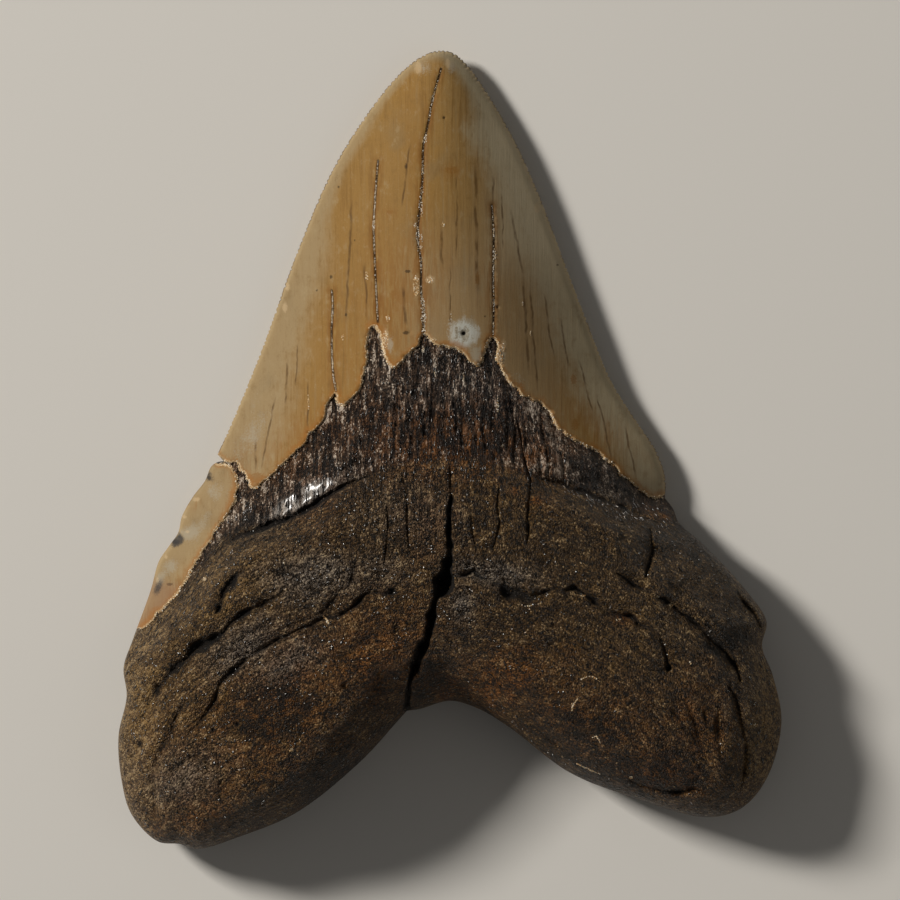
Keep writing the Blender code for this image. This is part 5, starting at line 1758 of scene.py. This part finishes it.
# %% How light each grain is
def dentine_tone(tree, at):
    """A number from dark to light: each grain's own, then clouds, layers and fibres, and painted
    shade on the lobes' far sides.
    """
    x, y, face, on_band = at.x, at.y, at.face, at.on_band
    strands = noise(tree, stretched(tree, x * 0.6, y * 0.10, 8.0), 1.0, 3.0, 0.6) - 0.5
    # Painted shade over the lobes' far sides.
    painted_shade = spots(x, y, at.cloud - 0.5, PAINTED_SHADE_PATCHES) * face
    tone = at.grain.of("Red") * (0.58 - on_band * 0.22) + at.flake.of("Red") * 0.28
    tone = tone + abs(x).ease(44.0, 51.0) * face * 0.2 + (1.0 - x.ease(-42.0, -30.0)) * face * 0.05
    tone = tone + (at.cloud - 0.5) * 1.25 + at.layered * 1.2 - at.centre * 0.05
    tone = tone - at.rust * on_band * 0.16 - painted_shade * 0.22
    tone = tone + at.streaky * (2.8 - x.ease(10.0, 20.0) * 1.2) + strands * on_band
    # Pale specks on a few grains are painted glints.
    tone = tone + at.grain.of("Blue").ease(0.84, 0.97) * 0.28
    right_end, left_half = x.ease(17.5, 22.0), x.ease(-22.0, -18.0) * (1.0 - x.ease(-8.0, -4.0))
    lift = x.ease(8.0, 14.0) * (1.0 - right_end) * 0.32 + left_half * 0.08 - right_end * 0.03
    return tone + on_band * (lift + 0.16) + 0.03


print(len(PAINTED_SHADE_PATCHES), "damp patches")


# %% The dentine's colours
BARK_STOPS = ((0.0, paint(10, 7, 2)), (0.26, paint(38, 26, 10)), (0.52, paint(68, 48, 22)),
              (0.78, paint(98, 73, 40)), (1.0, paint(168, 144, 106)))
BAND_STOPS = ((0.0, paint(5, 3, 2)), (0.30, paint(17, 12, 8)), (0.55, paint(42, 31, 22)),
              (0.80, paint(98, 80, 63)), (1.0, paint(226, 212, 194)))


def dentine_coats(tree, at, tone):
    """Brown bark and charcoal band, stained with ochre and rust, and painted a pale grey where it
    shines, a painted sheen.
    """
    on_band = at.on_band
    bark = tree.add("ShaderNodeValToRGB", {"stops": BARK_STOPS}, {"Fac": tone})
    band = tree.add("ShaderNodeValToRGB", {"stops": BAND_STOPS}, {"Fac": tone})
    coats = Coats(tree, mix(tree, on_band, bark, band))
    light = tone.ease(0.1, 0.95)
    blotched = stretched(tree, at.x * 0.55, at.y * (0.55 - on_band * 0.35), at.z * 0.55)
    blotches = noise(tree, blotched, 1.0, 4.0, 0.7)
    coats.wash(at.ochre * (1.0 - blotches.ease(0.38, 0.62)) * (1.0 - on_band) * 0.8,
               mix(tree, light, paint(34, 24, 8), paint(158, 122, 68)))
    rusty = (at.rust + on_band * 0.2) * (blotches.ease(0.36, 0.62) * 0.75 + 0.25)
    coats.wash(rusty.least(0.85),
               mix(tree, light * (1.0 - on_band * 0.3), paint(30, 15, 2), paint(152, 90, 20)))
    # A painted sheen: pale grey where the bark shines.
    coats.wash(at.gloss * 0.55,
               mix(tree, tone.ease(0.24, 0.92), paint(16, 15, 15), paint(178, 172, 164)))
    return coats


print("stops from dark to light:", len(BARK_STOPS), "for bark and", len(BAND_STOPS), "for band")


# %% The dentine's finish
def dentine_finish():
    material, tree = finish_tree("fossil_dentine_finish")
    at = dentine_places(tree)
    coats = dentine_coats(tree, at, dentine_tone(tree, at))
    # Cracks and pits are painted darker the deeper they cut: painted shade.
    painted_cut_shade = at.cut.ease(0.08, 0.7)
    coats.wash(painted_cut_shade * 0.92, paint(9, 6, 4))
    sheen = noise(tree, stretched(tree, at.x * 3.2, at.y * 0.22, 7.0), 1.0, 3.0, 0.6)
    glaze_and_painted_highlight = at.gloss.ease(0.40, 0.75) * at.on_band * (sheen + at.upright * 0.6).ease(0.42, 0.52)
    # A paler grey under the glaze's streaks is a painted highlight.
    coats.wash(glaze_and_painted_highlight * 0.45, paint(140, 135, 128))

    rough = 0.38 + at.flake.of("Green") * 0.24 + painted_cut_shade * 0.3 + at.rust * 0.15 * (1.0 - at.on_band)
    rough = rough - at.gloss * (0.30 - at.on_band * 0.14)
    roughness = rough * (1.0 - glaze_and_painted_highlight * 0.4)
    grainy = at.grain.of("Green") * 0.14 - at.grains * 0.32 - at.flakes * 0.18
    height = grainy * (1.0 - glaze_and_painted_highlight * 0.8) + at.streaky * 0.5
    height = height + (at.cloud - 0.5) * (1.0 - glaze_and_painted_highlight) * 0.3 + at.layered * 0.25
    principled(tree, {"IOR": 1.5, "Specular IOR Level": 0.36, "Coat Roughness": 0.22},
               {"Base Color": coats.colour, "Roughness": roughness,
                "Normal": bumps(tree, height), "Coat Weight": glaze_and_painted_highlight})
    return material


dentine_material = dentine_finish()
print("the dentine's finish:", len(dentine_material.node_tree.nodes), "nodes")

# %% One finish for each stuff
tooth_body.data.materials.clear()
tooth_body.data.materials.append(enamel_material)
tooth_body.data.materials.append(dentine_material)
corners = np.empty(3 * len(tooth_body.data.polygons), np.int32)
tooth_body.data.loops.foreach_get("vertex_index", corners)
is_dentine = reading("enamel")[corners].reshape(-1, 3).mean(axis=1) < 0.0
tooth_body.data.polygons.foreach_set("material_index", is_dentine.astype(np.int32))
print("dentine on", int(is_dentine.sum()), "triangles of", len(is_dentine))


# %% Finishes for the crumbs
def crumb_finish(name, stops, fixed, rough):
    """A finish whose colour is picked by each crumb's own tone."""
    material, tree = finish_tree(name)
    spot, *_ = place_in_mm(tree)
    mottle = noise(tree, spot, 3.0, 2.0) - 0.5
    tone = reads(tree, "tone") + mottle * 0.35
    colour = tree.add("ShaderNodeValToRGB", {"stops": stops}, {"Fac": tone})
    roughness = rough + mottle * 0.3
    uneven = bumps(tree, noise(tree, spot, 8.0, 2.0) * 0.03)
    principled(tree, fixed, {"Base Color": colour, "Roughness": roughness, "Normal": uneven})
    return material


grit_material = crumb_finish(
    "bark_grit_finish",
    ((0.0, paint(8, 5, 2)), (0.5, paint(26, 18, 9)), (0.8, paint(52, 38, 20)),
     (0.95, paint(84, 64, 38)), (1.0, paint(150, 124, 90))),
    {"IOR": 1.5, "Specular IOR Level": 0.7}, 0.26)
fibre_material = crumb_finish(
    "band_fibre_finish",
    ((0.0, paint(8, 6, 5)), (0.5, paint(22, 17, 13)), (0.8, paint(44, 34, 26)),
     (0.95, paint(74, 60, 50)), (1.0, paint(126, 114, 102))),
    {"IOR": 1.5, "Specular IOR Level": 0.5}, 0.26)
crust_material = crumb_finish(
    "margin_crust_finish",
    ((0.0, paint(176, 122, 62)), (0.3, paint(218, 186, 138)), (0.7, paint(238, 220, 186)),
     (1.0, paint(248, 240, 224))),
    {"IOR": 1.48, "Specular IOR Level": 0.3}, 0.6)
sand_material = crumb_finish(
    "crack_sand_finish",
    ((0.0, paint(96, 66, 34)), (0.25, paint(180, 148, 104)), (0.6, paint(222, 208, 182)),
     (1.0, paint(246, 242, 234))),
    {"IOR": 1.5, "Specular IOR Level": 0.3}, 0.55)
print("finishes by now:", ", ".join(material.name for material in bpy.data.materials))


# %% Scattering the crumbs
# Each row holds the mesh to scatter over, then a value for each of the tree's inputs in turn.
CRUMBS = {
    "bark_grit": (tooth_body, "where_grit", 1.5, 0.07, 0.24, 1.3, 0.6, 3.0, 1, grit_material),
    "band_fibres": (tooth_body, "where_fibre", 1.6, 0.06, 0.17, 3.2, 0.8, 0.12, 2, fibre_material),
    "margin_crust": (crust_bed, "where_bed", 58.0, 0.03, 0.14, 1.1, 0.9, 3.0, 3, crust_material),
    "crack_sand": (sand_bed, "where_bed", 95.0, 0.03, 0.11, 1.1, 0.9, 3.0, 4, sand_material),
}
CRUMB_FACES = 20

loose = []
_, *labels = crumb_inputs  # the first input is the mesh itself
for name, (source, *settings) in CRUMBS.items():
    made = with_nodes(source, name, crumbs, crumb_inputs, dict(zip(labels, settings)))
    loose.append(made)
    count = len(made.data.polygons)
    print(name + ":", count // CRUMB_FACES, "crumbs,", count, "faces")
for bed in (sand_bed, crust_bed):
    bpy.data.objects.remove(bed)

# %% [markdown]
# ## Handing the pieces to the frame
#
# Everything rides on the tooth's one body. The skin stands for the solid, and the crumbs lie on
# the skin.

# %% Riding and replacing
for piece in (tooth_body, *loose):
    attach(piece, "root")
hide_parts("tooth")
print("pieces:", ", ".join(piece.name for piece in (tooth_body, *loose)))

# %% [markdown]
# ## The table, the light and the camera
#
# The tooth lies on a pale table, seen from straight above through a long lens. A soft lamp from
# the upper left, low enough to rake, picks out the bark's grain, and a weak one opposite keeps
# the shaded lobe readable.


# %% The table
TABLE_DROP = 0.0001  # m, so that the tooth and the table never share a plane


def table_top(half):
    """A square table, two half sides across."""
    mesh = bpy.data.meshes.new("table_top")
    corners = ((-half, -half), (half, -half), (half, half), (-half, half))
    mesh.from_pydata([(x, y, -TABLE_DROP) for x, y in corners], [], [(0, 1, 2, 3)])
    material, tree = finish_tree("table_paint")
    principled(tree, {"Base Color": paint(232, 229, 223), "Roughness": 0.75}, {})
    mesh.materials.append(material)
    return added("table_top", mesh)


table_top(6.0)
print("table set", 1000 * TABLE_DROP, "mm below the tooth")


# %% The lamps
AIM = Vector((0.0, 0.0, 0.01))  # m, a point inside the tooth
LAMP_DISTANCE = 2.0  # m


def lamp(name, azimuth, elevation, size, power, colour):
    """A square soft lamp that faces the tooth. Azimuth is counted from +X towards +Y."""
    turn, lift = math.radians(azimuth), math.radians(elevation)
    flat = math.cos(lift)
    away = Vector((math.cos(turn) * flat, math.sin(turn) * flat, math.sin(lift)))
    light = bpy.data.lights.new(name, "AREA")
    light.size, light.energy, light.color = size, power, colour
    placed = added(name, light)
    placed.location = away * LAMP_DISTANCE + AIM
    placed.rotation_euler = away.to_track_quat("Z", "Y").to_euler()
    placed.visible_camera = False


lamp("key_lamp", azimuth=152, elevation=36, size=0.36, power=36.0, colour=(1.0, 0.96, 0.9))
lamp("fill_lamp", azimuth=-20, elevation=45, size=1.4, power=1.2, colour=(1.0, 0.95, 0.88))
world = bpy.data.worlds.new("studio")
bpy.context.scene.world = world
world.use_nodes = True
background = world.node_tree.nodes["Background"].inputs
background["Color"].default_value = (1.0, 0.98, 0.95, 1.0)
background["Strength"].default_value = 0.08
print("lamps:", len(bpy.data.lights))

# %% The camera
FRAME_WIDTH = 0.144  # m that the view spans at the blade's edge
EDGE_HEIGHT = 0.005  # m
camera = bpy.data.cameras.new("overhead")
camera.lens, camera.sensor_width = 1000.0, 36.0
distance = camera.lens / camera.sensor_width * FRAME_WIDTH
camera.clip_end = 12.0
overhead = added("overhead", camera)
overhead.location = (PLAN_MOVED[0] * MM, PLAN_MOVED[1] * MM, EDGE_HEIGHT + distance)
bpy.context.scene.camera = overhead
bpy.context.scene.view_settings.view_transform = "Standard"
print("camera", round(distance, 2), "m above the blade's edge")

# %% [markdown]
